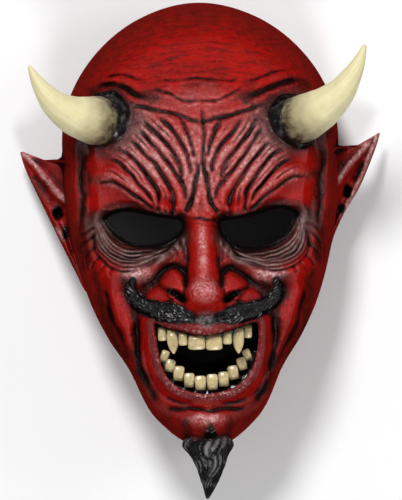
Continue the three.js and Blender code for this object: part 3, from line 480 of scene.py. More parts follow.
def crease(x, y, path, width, depth, ends):
    """A V-shaped cut along a path, with raised banks."""
    distance, t, _ = nearest(x, y, smooth_path(path), width * 4.5)
    k = distance / width
    cut = 1.25 * np.exp(-k**1.5) - 0.25 * np.exp(-(((k - 2.2) / 1.1) ** 2))
    return -listed(depth, t) * cut * fading(t, ends)


def lump(x, y, place, size, rise, turn):
    """Half a ball, stretched and turned, that falls away outside its edge."""
    cos, sin = math.cos(math.radians(turn)), math.sin(math.radians(turn))
    dx, dy = x - place[0], y - place[1]
    q = np.hypot((dx * cos + dy * sin) / size[0], (dy * cos - dx * sin) / size[1])
    return np.where(q < 1, rise * np.sqrt(np.clip(1 - q * q, 0, 1)), -3 * (q - 1))


class Face:
    """The relief of the face at places of its plan: its height, and what lies there."""

    def __init__(self, x, y):
        self.x, self.y = x, y
        self.out, self.up = fold(x, y)
        self.eye = outline_distance(self.out, self.up, smooth_loop(EYE_OUTLINE))
        self.mouth = outline_distance(x, y, smooth_loop(LIP_OUTLINE))
        self.broad = self.broad_height(x, self.out, self.up)
        height = self.add_nose(self.broad)
        height += self.rolls() + self.lips()
        height, hair = self.add_moustache(height)
        self.hair = hair
        open_skin = np.clip((self.eye + 1) / 2.5, 0, 1) * np.clip((self.mouth + 1) / 2.5, 0, 1)
        self.grooves = self.wrinkles() * open_skin * (1 - 0.9 * hair)
        height += self.grooves
        height += ridge(x, y, *CHIN_TUFT) + 0.22 * uneven(x, y, 9, 3) + 0.12 * uneven(x, y, 4.2, 4)
        self.height = height - 2.4 * ease(1 - self.eye / 3)
        self.shade = self.airbrushed_shade()

    def broad_height(self, x, out, up):
        """The skull's curve with the broad forms of the face on it."""
        radius = outline_value(OUTLINE_RADIUS, x, self.y)
        edge = outline_value(OUTLINE_EDGE_HEIGHT, x, self.y)
        reach = np.clip(np.hypot(x, self.y - HEAD_CENTRE_UP) / radius, 0, 1)
        height = edge + (HEAD_HEIGHT - edge) * np.sqrt(1 - reach**2)
        for place, size, rise in MOUNDS:
            height = height + rise * bump(oval(out, up, place, size))
        for path, radii, rise, ends in RIDGES.values():
            height = height + ridge(out, up, path, radii, rise, ends)
        height += self.down_nose(NOSE_BODY_RISE) * bump(out / self.down_nose(NOSE_BODY_HALF))
        return height - EYE_SOCKET_DEPTH * ease(1 - np.maximum(self.eye, 0) / EYE_SOCKET_REACH)

    def down_nose(self, values):
        """A value listed down the nose's length, smoothly between its places."""
        ups = np.linspace(NOSE_UP[-1] - 6, NOSE_UP[0] + 6, 160)
        steps = np.interp(ups, NOSE_UP[::-1], values[::-1])
        soft = np.hanning(17) / np.hanning(17).sum()
        steps = np.convolve(np.pad(steps, 8, mode="edge"), soft, mode="valid")
        return np.interp(self.up, ups, steps)

    def add_nose(self, ground):
        """The height with the nose's bridge, tip, wings and nostrils."""
        rise, half = self.down_nose(NOSE_BRIDGE_RISE), self.down_nose(NOSE_BRIDGE_HALF)
        across = self.out / half
        bridge = rise * np.where(across < 1, np.clip(1 - across**1.8, 0, 1) ** 0.6, -2 * (across - 1))
        height = np.where((rise > 0.3) & (across < 1.6), smooth_max(ground, ground + bridge, 3.5), ground)
        for form, softness in [(wing, 2.4) for wing in NOSE_WINGS] + [(NOSE_TIP, 3)]:
            raised = lump(self.out, self.up, *form)
            height = np.where(raised > -8, smooth_max(height, ground + raised, softness), height)
        nostril, _, _ = nearest(self.out, self.up, smooth_path(NOSTRIL[0]), 6)
        self.nostril = ease(1.5 - nostril / NOSTRIL_BLACK)
        return height + ridge(self.out, self.up, *NOSTRIL)

    def rolls(self):
        """The swollen skin between the brow's fan wrinkles and between the eye bag's rings."""
        total = 0
        for first, second in zip(FANS[:-1], FANS[1:]):
            middle = (evenly(smooth_path(first), 9) + evenly(smooth_path(second), 9)) / 2
            total = total + ridge(self.out, self.up, middle, ROLL_RADIUS, ROLL_RISE, (0.25, 0.1))
        return total

    def lips(self):
        """How far the lips rise round the mouth. Keeps where they catch the light."""
        near = bump((self.mouth - 3.6) / LIP_REACH) * LIP_RISE
        rolled = -3 * ease(1 - self.mouth / 1.8)
        wave = np.sin(np.arctan2(self.y + 68, self.x) * 66 + 4 * uneven(self.x, self.y, 5, 31))
        lower = ease((-72 - self.y) / 10)
        depth = 0.7 + 0.4 * uneven(self.x, self.y, 5, 32)
        grooves = 0.4 * wave * bump((self.mouth - 3.2) / 4.6) * depth * lower
        rim = bump((self.mouth - 1.6) / 2.2) * (0.55 + 0.45 * uneven(self.x, self.y, 7, 33))
        bow = bump(np.abs(self.x) / 13) * (self.y > -60)
        self.lip_light = np.clip(np.clip(wave, 0, 1) * bump((self.mouth - 2.6) / 3) * lower * 0.9
                                 + rim * (0.3 + 0.6 * bow), 0, 1)
        return near + np.where(self.mouth < 3, rolled, 0) + grooves

    def add_moustache(self, ground):
        """The height with the moustache's strands, and where its hair lies."""
        line = smooth_path(MOUSTACHE)
        distance, t, side = nearest(self.out, self.up, line, max(MOUSTACHE_RADIUS) * 1.4)
        k = distance / listed(MOUSTACHE_RADIUS, t)
        rise = listed(MOUSTACHE_RISE, t)
        k = k * (1 + 0.12 * uneven(self.x, self.y, 5, 41))
        round_top = np.where(k < 1, rise * np.sqrt(np.clip(1 - k * k, 0, 1)), -2 * rise * (k - 1))
        run = t * np.linalg.norm(np.diff(line, axis=0), axis=1).sum()
        wander = 2.2 * uneven(self.x, self.y, 11, 42)
        phase = (side * distance + STRAND_SLANT * run) * 2 * np.pi / STRAND_PITCH + wander
        strands = np.sin(phase) * (0.8 + 0.4 * uneven(self.x, self.y, 7, 43))
        raised = smooth_max(ground, ground + round_top + STRAND_DEPTH * strands * bump(k / 1.15), 1)
        self.strands = np.clip(strands, 0, 1) * (k < 1.1)
        return np.where(k < 1.4, raised, ground), ease((1.16 - k) * 5)

    def wrinkles(self):
        """The depth of every crease, fine stroke and scratch."""
        out, up, x = self.out.copy(), self.up.copy(), self.x.copy()
        for seed, (amount, size) in enumerate(WANDER):
            shift = amount * uneven(self.x, self.y, size, 50 + seed)
            out, x = out + shift, x + shift
            up = up + amount * uneven(self.x, self.y, size, 60 + seed)
        total = crease(x, up, *MIDDLE_CREASE)
        for path in FANS:
            total = total + crease(out, up, path, *FAN_CREASE)
        for path, width, depth, ends in WRINKLES.values():
            total = total + crease(out, up, path, width, depth, ends)
        rng = np.random.default_rng(7)
        fans = [evenly(smooth_path(path), 21) for path in FANS]
        for k, share, start, end in FINE_CREASES_BETWEEN:
            line = fans[k] * (1 - share) + fans[k + 1] * share
            total = total + crease(out, up, line[int(start * 20):int(end * 20) + 1:2], *FINE_CREASE)
        for _ in range(STROKES):
            k = rng.integers(0, len(fans) - 1)
            share = rng.uniform(-0.1, 1.1)
            start = rng.integers(0, 12)
            length = rng.integers(5, 9)
            stray = rng.normal(0, 0.5, (21, 1)).cumsum(0) * 0.4
            stroke = fans[k] * (1 - share) + fans[k + 1] * share + stray
            total = total + crease(out, up, stroke[start:start + length:2], *STROKE_CREASE)
        inner, outer = evenly(smooth_path(BAG_INNER), 21), evenly(smooth_path(BAG_OUTER), 21)
        for k in range(BAG_RINGS):
            share = (k + 0.3) / BAG_RINGS
            ring = inner[::4] * (1 - share) + outer[::4] * share + rng.normal(0, 0.22, (6, 2))
            total = total + crease(out, up, ring, 0.62, [0.8, 1.3, 1.4, 1.3, 0.8], (0.15, 0.15))
        for _ in range(BAG_STROKES):
            share, start = rng.uniform(0, 1), rng.integers(0, 13)
            ring = inner * (1 - share) + outer * share
            total = total + crease(out, up, ring[start:start + 8:2], 0.6, [0.9], (0.35, 0.35))
        for _ in range(SKULL_SCRATCHES):
            start = rng.uniform(-62, 40)
            level = rng.uniform(88, 140)
            length = rng.uniform(9, 30)
            path = [(start, level), (start + length / 2, level + rng.normal(0, 0.8)),
                    (start + length, level + rng.normal(0, 1))]
            total = total + crease(x, up, path, 0.6, [0.3], (0.35, 0.35))
        return total * np.clip(0.85 + 0.35 * uneven(self.x, self.y, 15, 77), 0.35, 1.3)

    def airbrushed_shade(self):
        """How much the paint is darkened, 0 to 1: dark airbrushing, partly the mask's own paint and partly
        painted shade.
        """
        out = self.out + 1.6 * uneven(self.x, self.y, 12, 71)
        up = self.up + 1.6 * uneven(self.x, self.y, 12, 72)
        light = np.ones(self.x.shape)
        for path, width, strength in SHADES:
            distance, _, _ = nearest(out, up, smooth_path(path), width)
            light = light * (1 - np.clip(strength * bump(distance / width), 0, 1))
        return 1 - light

    def pocket_floor(self):
        """The height of the mouth pocket's floor, flatter across than the face."""
        squeezed = self.x * MOUTH_FLOOR_FLATNESS
        return self.broad_height(squeezed, *fold(squeezed, self.y)) - MOUTH_DEPTH


def mesh_object(name, points, faces, region=None):
    """An object from points in millimetres. A region names where its faces come from."""
    mesh = bpy.data.meshes.new(name)
    mesh.from_pydata((np.asarray(points, float) * MM).tolist(), [], [list(map(int, f)) for f in faces])
    if region:
        for tag in REGIONS:
            mesh.materials.append(bpy.data.materials.get(tag) or bpy.data.materials.new(tag))
        tags = np.full(len(mesh.polygons), REGIONS.index(region), np.int32)
        mesh.polygons.foreach_set("material_index", tags)
    body = bpy.data.objects.new(name, mesh)
    bpy.context.scene.collection.objects.link(body)
    face_outwards(body)
    return body


def read(items, key, width=1, kind=float):
    """The values that a mesh's points, edges, faces or corners hold."""
    values = np.empty(len(items) * width, kind)
    items.foreach_get(key, values)
    return values.reshape(-1, width) if width > 1 else values


def face_outwards(body):
    """Turns a closed body's faces outwards."""
    mesh = body.data
    mesh.calc_loop_triangles()
    points = read(mesh.vertices, "co", 3)
    triangles = read(mesh.loop_triangles, "vertices", 3, np.int32)
    a, b, c = (points[triangles[:, k]] for k in range(3))
    if np.einsum("ij,ij->i", a, np.cross(b, c)).sum() < 0:
        mesh.flip_normals()


def grid_faces(grid):
    """Four-sided faces between the rows and columns of a grid of point numbers."""
    return np.stack([grid[:-1, :-1], grid[:-1, 1:], grid[1:, 1:], grid[1:, :-1]], -1).reshape(-1, 4).tolist()


def loft(name, rings, region=None):
    """A closed body through rings of points, with its two ends closed."""
    rings = np.asarray(rings, float)
    count, sides = rings.shape[:2]
    grid = np.arange(count * sides).reshape(count, sides)
    nxt = np.roll(grid, -1, axis=1)
    faces = np.stack([grid[:-1], nxt[:-1], nxt[1:], grid[1:]], -1).reshape(-1, 4).tolist()
    points = np.vstack([rings.reshape(-1, 3), rings[0].mean(0), rings[-1].mean(0)])
    hub = count * sides
    faces += [[b, a, hub] for a, b in zip(grid[0], nxt[0])]
    faces += [[a, b, hub + 1] for a, b in zip(grid[-1], nxt[-1])]
    return mesh_object(name, points, faces, region)


def join(body, tool, operation):
    """Joins another body to this one, or cuts it away, and deletes it."""
    step = body.modifiers.new("step", "BOOLEAN")
    step.solver = "MANIFOLD"
    step.operation = operation
    step.object = tool
    settle(body)
    bpy.data.objects.remove(tool)


def settle(body):
    """Replaces the mesh by the result of the body's modifiers."""
    graph = bpy.context.evaluated_depsgraph_get()
    mesh = bpy.data.meshes.new_from_object(body.evaluated_get(graph))
    body.modifiers.clear()
    body.data = mesh


def copy_of(body):
    """Another object with a mesh of its own."""
    twin = body.copy()
    twin.data = body.data.copy()
    bpy.context.scene.collection.objects.link(twin)
    return twin


def plan_places(columns, rows, crowding):
    """A grid of directions over the head's plan, with the reach, 0 to 1, and the outline's radius in each.

    The places lie closer together in the middle where the crowding is below 1.
    """
    u, v = np.meshgrid(np.linspace(-1, 1, columns + 1), np.linspace(-1, 1, rows + 1))
    px, py = u * np.sqrt(1 - v * v / 2), v * np.sqrt(1 - u * u / 2)
    flat_reach = np.clip(np.hypot(px, py), 1e-9, 1)
    reach = np.sin(np.pi / 2 * (crowding * flat_reach + (1 - crowding) * flat_reach**4))
    px, py = px / flat_reach, py / flat_reach
    radius = outline_value(OUTLINE_RADIUS, px, py + HEAD_CENTRE_UP)
    return px, py, reach, radius


def draw_in(x, y, amount):
    """Places moved towards the middle of the plan."""
    reach = np.maximum(np.hypot(x, y - HEAD_CENTRE_UP), 1e-6)
    scale = np.maximum(reach - amount, 0) / reach
    return x * scale, (y - HEAD_CENTRE_UP) * scale + HEAD_CENTRE_UP


def dome(name, x, y, z, low, region):
    """A closed body under a grid of points: a skirt from their edge to the rim, closed below."""
    rows, columns = x.shape
    grid = np.arange(rows * columns).reshape(rows, columns)
    faces = grid_faces(grid)
    points = [np.stack([x, y, z], -1).reshape(-1, 3)]
    edge = np.concatenate([grid[0], grid[1:, -1], grid[-1, -2::-1], grid[-2:0:-1, 0]])
    top = points[0][edge]
    foot_x, foot_y = draw_in(top[:, 0], top[:, 1], RIM_TAPER)
    foot = np.stack([foot_x, foot_y, np.full(len(edge), float(low))], 1)
    upper, total = edge, rows * columns
    for k in range(1, RIM_ROWS + 1):
        points.append(top + (foot - top) * k / RIM_ROWS)
        lower = total + np.arange(len(edge))
        total += len(edge)
        faces += np.stack([upper, lower, np.roll(lower, -1), np.roll(upper, -1)], 1).tolist()
        upper = lower
    points.append(np.array([[0, HEAD_CENTRE_UP, low]]))
    faces += [[b, a, total] for a, b in zip(upper, np.roll(upper, -1))]
    return mesh_object(name, np.vstack(points), faces, region)


def hollow(wall):
    """The hollow: the whole face with its mouth pocket, moved inwards by the wall."""
    xs, ys = np.arange(-92, 93.0), np.arange(-126, 156.0)
    face = Face(*np.meshgrid(xs, ys))
    surface = np.where(face.mouth < 0, face.pocket_floor(), face.height)
    lining = np.full(surface.shape, np.inf)
    span = int(wall)
    padded = np.pad(surface, span, mode="edge")
    for i in range(-span, span + 1):
        for j in range(-span, span + 1):
            if i * i + j * j <= wall * wall:
                moved = padded[span + i:span + i + len(ys), span + j:span + j + len(xs)]
                lining = np.minimum(lining, moved - math.sqrt(wall * wall - i * i - j * j))
    px, py, reach, radius = plan_places(LINING_COLUMNS, LINING_ROWS, 1)
    x, y = px * reach * (radius - wall), py * reach * (radius - wall) + HEAD_CENTRE_UP
    i, j = np.clip(x - xs[0], 0, len(xs) - 2), np.clip(y - ys[0], 0, len(ys) - 2)
    i0, j0 = i.astype(int), j.astype(int)
    fi, fj = i - i0, j - j0
    z = (lining[j0, i0] * (1 - fi) * (1 - fj) + lining[j0, i0 + 1] * fi * (1 - fj)
         + lining[j0 + 1, i0] * (1 - fi) * fj + lining[j0 + 1, i0 + 1] * fi * fj)
    return dome("hollow", x, y, z, HOLLOW_BELOW, "inside")


def tube_rings(line, radius_at, sides):
    """Rings square to a line. radius_at gives a radius for a share of the length and an angle."""
    line = np.asarray(line, float)
    heading = np.gradient(line, axis=0)
    heading /= np.linalg.norm(heading, axis=1)[:, None]
    normal = np.cross(heading[0], [0, 0, 1.0])
    rings, t = [], lengthwise(line)
    angle = np.linspace(0, 2 * np.pi, sides, endpoint=False)
    for point, forward, share in zip(line, heading, t):
        normal = normal - forward * np.dot(normal, forward)
        normal /= np.linalg.norm(normal)
        across = np.cross(forward, normal)
        radius = np.broadcast_to(radius_at(share, angle), angle.shape)
        outwards = np.outer(radius * np.cos(angle), normal) + np.outer(radius * np.sin(angle), across)
        rings.append(point + outwards)
    return np.array(rings)


def horn_line(name, count):
    """The middle line of a horn, base to tip."""
    return evenly(smooth_path(HORNS[name], 12), count)


def horn_radius(share, angle, seed):
    """The horn's radius, with fine grooves along it, growth rings near its base and a blunt tip."""
    blunt = math.sqrt(max(0.0, 1 - max(0.0, (share - 0.985) / 0.015) ** 2))
    radius = listed(HORN_RADIUS, np.array(share)) * blunt
    grooves = np.sin(11 * angle + 3 * np.sin(7 * share + seed)) + 0.6 * np.sin(23 * angle - 5 * share + seed)
    rings = np.sin(62 * share**0.8 + 1.5 * np.sin(angle + seed)) * (1 - share) ** 2
    flats = 0.5 * np.sin(2 * angle + 4 * share + seed)
    carving = 0.09 * grooves + 0.07 * rings + 0.3 * flats
    return radius * (1 - HORN_SLACK) + min(1.0, radius / 6) * carving


def horn_socket(name):
    """The horn's hole in the skin, wider than the horn by a gap."""

    def radius_at(share, angle):
        return listed(HORN_RADIUS, np.array(share)) + SOCKET_GAP

    return loft(name + " socket", tube_rings(horn_line(name, 60), radius_at, HORN_SIDES), "socket")


def collar(name):
    """A rolled bead round the foot of a horn."""
    line = horn_line(name, 200)
    line = evenly(line[:int(len(line) * COLLAR_END)], COLLAR_RINGS)

    def radius_at(share, angle):
        wander = 0.35 * np.sin(3 * angle + 1) + 0.25 * np.sin(7 * angle + 5 * share)
        horn = listed(HORN_RADIUS[:2], np.array(share))
        return horn + listed(COLLAR_PROFILE, np.array(share)) + wander * (share < 0.9)

    return loft(name + " collar", tube_rings(line, radius_at, COLLAR_SIDES), "collar")


def ear(spec):
    """Sections from lobe to tip, each from the root out to the free edge and back behind."""
    side = spec["side"]
    roots = evenly(smooth_path(spec["root"]), EAR_STEPS + 1)
    edges = evenly(smooth_path(spec["edge"]), EAR_STEPS + 1)
    s = np.linspace(0, 1, EAR_STEPS + 1)[:, None]
    t = np.linspace(0, 1, EAR_ACROSS + 1)[None, :]
    x = side * (roots[:, :1] * (1 - t) + edges[:, :1] * t)
    y = roots[:, 1:] * (1 - t) + edges[:, 1:] * t - spec["dip"] * s**3 * np.sin(np.pi * t)
    front = listed(EAR_FRONT_ROOT, s) * (1 - t) + listed(EAR_FRONT_EDGE, s) * t
    roll = 3.4 * bump(np.abs(t - 0.86) / 0.2) * np.sin(np.pi * (0.15 + 0.75 * s))
    bowl = 9 * bump(np.hypot((t - 0.45) / 0.4, (s - 0.42) / 0.36))
    z = front + roll - bowl
    for path, radii, rise in spec["relief"]:
        z = z + ridge(x, y, path, radii, [rise], (0.2, 0.2))
    z = z + EAR_FILLET * np.clip(1 - t / EAR_FILLET_SHARE, 0, 1) ** 2
    z = z + (0.25 * uneven(x, y, 7, 11) + 0.15 * uneven(x, y, 3.5, 12)) * np.sin(np.pi * np.clip(t, 0.1, 0.9))
    thick = EAR_ROOT_THICKNESS + (EAR_EDGE_THICKNESS - EAR_ROOT_THICKNESS) * np.sqrt(t)
    thick = thick * (1 - EAR_TIP_THINNING * s)
    front_edge = np.stack([x, y, z], -1)
    back_edge = np.stack([x, y, z - thick], -1)
    turn = np.linspace(0, np.pi, EAR_ROUND + 2)[1:-1]
    last = front_edge[:, -1]
    half = thick[:, -1:] / 2
    swell, drop = side * 0.45 * half * np.sin(turn), half * (1 - np.cos(turn))
    rounded = np.stack([last[:, :1] + swell, last[:, 1:2] + np.zeros_like(swell), last[:, 2:] - drop], -1)
    rings = np.concatenate([front_edge, rounded, back_edge[:, ::-1]], 1)
    rings[..., 0] = np.clip(rings[..., 0], -EAR_REACH, EAR_REACH)
    return loft("ear", rings, "ear")


def goatee():
    """Pointed sections down the beard, grooved into strands that wander to its tip."""
    middles = np.array([place for place, _ in GOATEE], float)
    halves = np.array([half for _, half in GOATEE], float)
    line = evenly(smooth_path(middles), GOATEE_RINGS)
    share = lengthwise(smooth_path(middles))
    steps = np.linspace(0, 1, GOATEE_RINGS)
    sizes = np.stack([np.interp(steps, share, column) for column in smooth_path(halves).T], 1)
    angle = np.linspace(0, 2 * np.pi, GOATEE_SIDES, endpoint=False)
    rings = []
    for k, (middle, (half_x, half_z)) in enumerate(zip(line, sizes)):
        t = k / (GOATEE_RINGS - 1)
        twist = 0.5 * math.sin(5 * t) + 0.25 * math.sin(13 * t)
        strands = np.sin(GOATEE_STRANDS * (angle + twist)) + 0.5 * np.sin(7 * angle - 9 * t)
        grow = 1 - 0.16 * np.cos(2 * angle)
        depth = 0.42 * min(1, half_x / 5)
        x = middle[0] + (half_x + depth * strands) * np.cos(angle)
        z = middle[2] + (half_z * grow + depth * strands) * np.sin(angle)
        rings.append(np.stack([x, np.full(len(angle), middle[1]), z], 1))
    return loft("goatee", rings, "goatee")


def eye_cutter(side):
    """What one eye hole takes out of the skin."""
    loop = smooth_loop(EYE_OUTLINE, 10)
    x, y = unfold(loop[:, 0], loop[:, 1], side)
    rings = [np.stack([x, y, np.full(len(x), z)], 1) for z in (0.0, CUTTER_TOP)]
    return loft("eye cutter", rings, "eye edge")


def mouth_cutter():
    """The mouth's pocket, with an uneven floor."""
    loop = smooth_loop(MOUTH_OUTLINE, 6)
    middle = loop.mean(0)
    rings = []
    for share in (0.15, 0.35, 0.55, 0.75, 0.9, 1.0):
        ring = middle + (loop - middle) * share
        floor = Face(ring[:, 0], ring[:, 1]).pocket_floor() + 0.7 * uneven(ring[:, 0], ring[:, 1], 9, 21)
        rings.append(np.column_stack([ring, floor]))
    lip = evenly(np.vstack([smooth_loop(LIP_OUTLINE), LIP_OUTLINE[:1]]), 400)[:-1]
    aims = loop - middle
    turn = np.unwrap(np.arctan2(lip[:, 1] - middle[1], lip[:, 0] - middle[0]))
    order = np.argsort(turn % (2 * np.pi))
    angle = np.arctan2(aims[:, 1], aims[:, 0]) % (2 * np.pi)
    far = np.hypot(*(lip - middle).T)
    reach = np.interp(angle, (turn % (2 * np.pi))[order], far[order], period=2 * np.pi)
    reach = np.minimum(reach, np.hypot(*aims.T) - 0.15)
    edge = middle + aims / np.hypot(*aims.T)[:, None] * reach[:, None]
    under_wall = Face(loop[:, 0], loop[:, 1]).broad - LIP_THICKNESS
    under_edge = Face(edge[:, 0], edge[:, 1]).broad - LIP_THICKNESS
    rings.append(np.column_stack([loop, under_wall]))
    rings.append(np.column_stack([edge, under_edge]))
    rings.append(np.column_stack([edge, np.full(len(loop), CUTTER_TOP)]))
    return loft("mouth cutter", rings, "mouth pocket")


def edge_pairs(mesh):
    """The two points of every edge."""
    return read(mesh.edges, "vertices", 2, np.int32)


def averaged(values, pairs):
    """Each point's value averaged over its neighbours."""
    values = values.reshape(len(values), -1)
    count = np.bincount(pairs.ravel(), minlength=len(values))[:, None]
    total = np.stack([np.bincount(pairs[:, 0], values[pairs[:, 1], k], len(values))
                      + np.bincount(pairs[:, 1], values[pairs[:, 0], k], len(values))
                      for k in range(values.shape[1])], 1)
    return total / np.maximum(count, 1)


def soften(mesh, weight, rounds):
    """Smooths the mesh where the weight is above nought."""
    points = read(mesh.vertices, "co", 3)
    pairs = edge_pairs(mesh)
    for _ in range(rounds):
        points += 0.6 * weight[:, None] * (averaged(points, pairs) - points)
    mesh.vertices.foreach_set("co", points.ravel())
    mesh.update()


def region_shares(mesh):
    """How much of the faces round each point comes from each region."""
    loops = read(mesh.loops, "vertex_index", 1, np.int32)
    totals = read(mesh.polygons, "loop_total", 1, np.int32)
    tags = np.repeat(read(mesh.polygons, "material_index", 1, np.int32), totals)
    count = np.maximum(np.bincount(loops, minlength=len(mesh.vertices)), 1)
    size = len(mesh.vertices)
    return {name: np.bincount(loops, tags == k, size) / count for k, name in enumerate(REGIONS)}


def spread(values, pairs, rounds):
    """One value a point, averaged over the neighbours so many times."""
    for _ in range(rounds):
        values = averaged(values, pairs)[:, 0]
    return values


def hollows_and_crests(mesh, rounds):
    """How far each point lies above the smoothed surface round it, in millimetres."""
    points = read(mesh.vertices, "co", 3)
    pairs = edge_pairs(mesh)
    normals = read(mesh.vertices, "normal", 3)
    smoothed = points.copy()
    for _ in range(rounds):
        smoothed = averaged(smoothed, pairs)
    return np.einsum("ij,ij->i", points - smoothed, normals) / MM


def store(mesh, **values):
    """Keeps values at the mesh's points for its paint."""
    for name, numbers in values.items():
        attribute = mesh.attributes.new(name, "FLOAT", "POINT")
        attribute.data.foreach_set("value", np.asarray(numbers, np.float32))


def model_skin(wall):
    """The casting: face, ears, collars and goatee in one, hollow behind, with its eyes and mouth open."""
    px, py, reach, radius = plan_places(FACE_COLUMNS, FACE_ROWS, FACE_CROWDING)
    x, y = px * reach * radius, py * reach * radius + HEAD_CENTRE_UP
    skin = dome("painted_skin", x, y, Face(x, y).height, 0, "face")
    for spec in EARS:
        join(skin, ear(spec), "UNION")
    for name in HORNS:
        join(skin, collar(name), "UNION")
    join(skin, goatee(), "UNION")
    cavity = hollow(wall)
    join(skin, copy_of(cavity), "DIFFERENCE")
    for name in HORNS:
        join(skin, horn_socket(name), "DIFFERENCE")
    for side in (-1, 1):
        join(skin, eye_cutter(side), "DIFFERENCE")
    join(skin, mouth_cutter(), "DIFFERENCE")
    skin.data.calc_loop_triangles()
    points = read(skin.data.vertices, "co", 3)
    rim = skin.vertex_groups.new(name="rim")
    rim.add(np.flatnonzero(points[:, 2] < RIM_KEPT * MM).tolist(), 1.0, "REPLACE")
    thin = skin.modifiers.new("thin", "DECIMATE")
    thin.ratio = min(1.0, SKIN_TRIANGLES / len(skin.data.loop_triangles))
    thin.vertex_group = "rim"
    thin.invert_vertex_group = True
    settle(skin)
    skin.vertex_groups.clear()
    soften_joints(skin.data)
    paint_masks(skin.data)
    return skin, cavity


def soften_joints(mesh):
    """Rounds the places where the ears, collars and goatee leave the face, and the eye and lip edges."""
    pairs = edge_pairs(mesh)
    shares = region_shares(mesh)
    points = read(mesh.vertices, "co", 3)
    joint = np.zeros(len(points))
    for name in ("ear", "collar", "goatee"):
        joint = np.maximum(joint, 4 * shares[name] * shares["face"])
    for name in ("eye edge", "mouth pocket"):
        joint = np.maximum(joint, 2 * shares[name] * shares["face"])
    joint *= points[:, 2] > RIM_SHARP * MM
    soften(mesh, np.clip(spread(joint, pairs, 3) * 2.2, 0, 1), 8)


def spots(x, y, places):
    """Soft oval spots of paint."""
    return sum(share * bump(oval(x, y, place, size)) for place, size, share in places)


def paint_masks(mesh):
    """Stores where the paint of the skin is dark, light, black or bare, painted shade and painted highlights
    among them.
    """
    points = read(mesh.vertices, "co", 3)
    pairs = edge_pairs(mesh)
    shares = region_shares(mesh)
    for name in ("collar", "goatee", "ear", "eye edge"):
        shares[name] = spread(shares[name], pairs, 2)
    x, y = points[:, 0] / MM, points[:, 1] / MM
    face = Face(x, y)
    below = outline_value(OUTLINE_EDGE_HEIGHT, x, y) - points[:, 2] / MM
    front = spread(shares["face"], pairs, 1) * ease(1 - (below - 2) / 5)
    fine, coarse = hollows_and_crests(mesh, 5), hollows_and_crests(mesh, 30)
    inner, outer = evenly(smooth_path(BAG_INNER), 9), evenly(smooth_path(BAG_OUTER), 9)
    bag, _, _ = nearest(face.out, face.up, (inner + outer) / 2, 16)
    reach = np.hypot(x, y - HEAD_CENTRE_UP) / outline_value(OUTLINE_RADIUS, x, y)
    parts = front + shares["ear"] + shares["goatee"] + shares["collar"]
    pale = spots(face.out, face.up, PALE)
    gleam = spots(face.out, face.up, GLEAMS)
    canal, grey, crest = np.zeros(len(x)), np.zeros(len(x)), np.zeros(len(x))
    for spec in EARS:
        for path, _, rise in spec["relief"]:
            distance, _, _ = nearest(x, y, smooth_path(path), 6)
            crest = np.maximum(crest, bump(distance / 2.6) * (rise > 0))
        for place, size in spec["black"]:
            canal = np.maximum(canal, ease(1.9 - 1.4 * oval(x, y, place, size)))
        grey = np.maximum(grey, bump(oval(x, y, *spec["grey"])))
    groove = np.clip((-face.grooves - 0.35) / 2.1, 0, 1) * front
    lip = ease(1.5 - np.abs(face.mouth - 2) / 3.6) * front
    # The black of the beard starts in a W: a point in the middle, lower beside it, higher at its sides
    start = -107 - 9 * (1 - np.exp(-((x - 2) / 4.5) ** 2)) + 5 * ease((np.abs(x - 1) - 9) / 5)
    beard = shares["goatee"] * ease((start - y) / 2 + 0.5)
    spike = ease(((-104.5 - y) * 0.55 - np.abs(x - 2)) / 1.4 + 0.5) * ease((-103.5 - y) / 2)
    low_fine, high_fine = np.clip((-fine - 0.06) / 0.5, 0, 1), np.clip(fine / 0.4, 0, 1)
    low_coarse, high_coarse = np.clip((-coarse - 0.1) / 1.5, 0, 1), np.clip((coarse - 0.1) / 1.4, 0, 1)
    store(
        mesh,
        # Creases and hollows, darkened: partly a real wash, partly painted shade
        sunk=np.clip(groove * 0.9 + low_fine * 0.5 * parts + low_coarse * 0.5 * parts, 0, 1),
        skull=ease((face.up - 84) / 18) * front,
        # Crests, lightened: partly dry-brushing, partly painted highlight
        raised=(high_fine * 0.6 + high_coarse * 0.6) * np.clip(parts, 0, 1),
        # Painted highlights on the pale and gleaming spots and the ears' ridges; on the brows the pale is
        # real dry-brushing
        pale=np.clip(pale * front + 0.8 * crest * shares["ear"], 0, 1),
        gleam=np.clip(gleam * front + 0.5 * crest * shares["ear"], 0, 1),
        # Painted shade: the airbrushed paths, kept off the lips, with the goatee, the ears and their hollows
        # darkened
        shade=np.clip(face.shade * front * (1 - 0.85 * lip) + shares["goatee"] * 0.8 + shares["ear"] * 0.15
                      + grey * shares["ear"] * 0.5, 0, 1),
        hair=np.maximum(np.maximum(face.hair, spike) * front, ease(beard * 1.6)),
        beard=ease(shares["goatee"] * 1.6),
        eye_black=ease(1.3 - face.eye / 5) * (front + shares["eye edge"]),
        bag=ease(1.35 - bag / 7.4) * front,
        strand=np.clip(face.strands * front + np.clip(fine / 0.3, 0, 1) * shares["goatee"], 0, 1),
        lip_light=face.lip_light * front,
        lip=lip,
        collar=ease(shares["collar"] * 1.5),
        ear=ease(shares["ear"]),
        # Black in the ear canals and nostrils, painted shade in their hollows
        canal=np.maximum(canal * ease(shares["ear"] * 2), face.nostril * front),
        # Painted shade: darker towards the head's outline, where its sides turn from the light
        edge=ease((reach - 0.8) / 0.2) * shares["face"],
        bare=shares["inside"] + shares["socket"],
        pocket=shares["mouth pocket"],
        stubble=bump(np.abs(x - 1) / 8) * bump(np.abs(y + 42.5) / 7) * front * (1 - face.hair),
    )


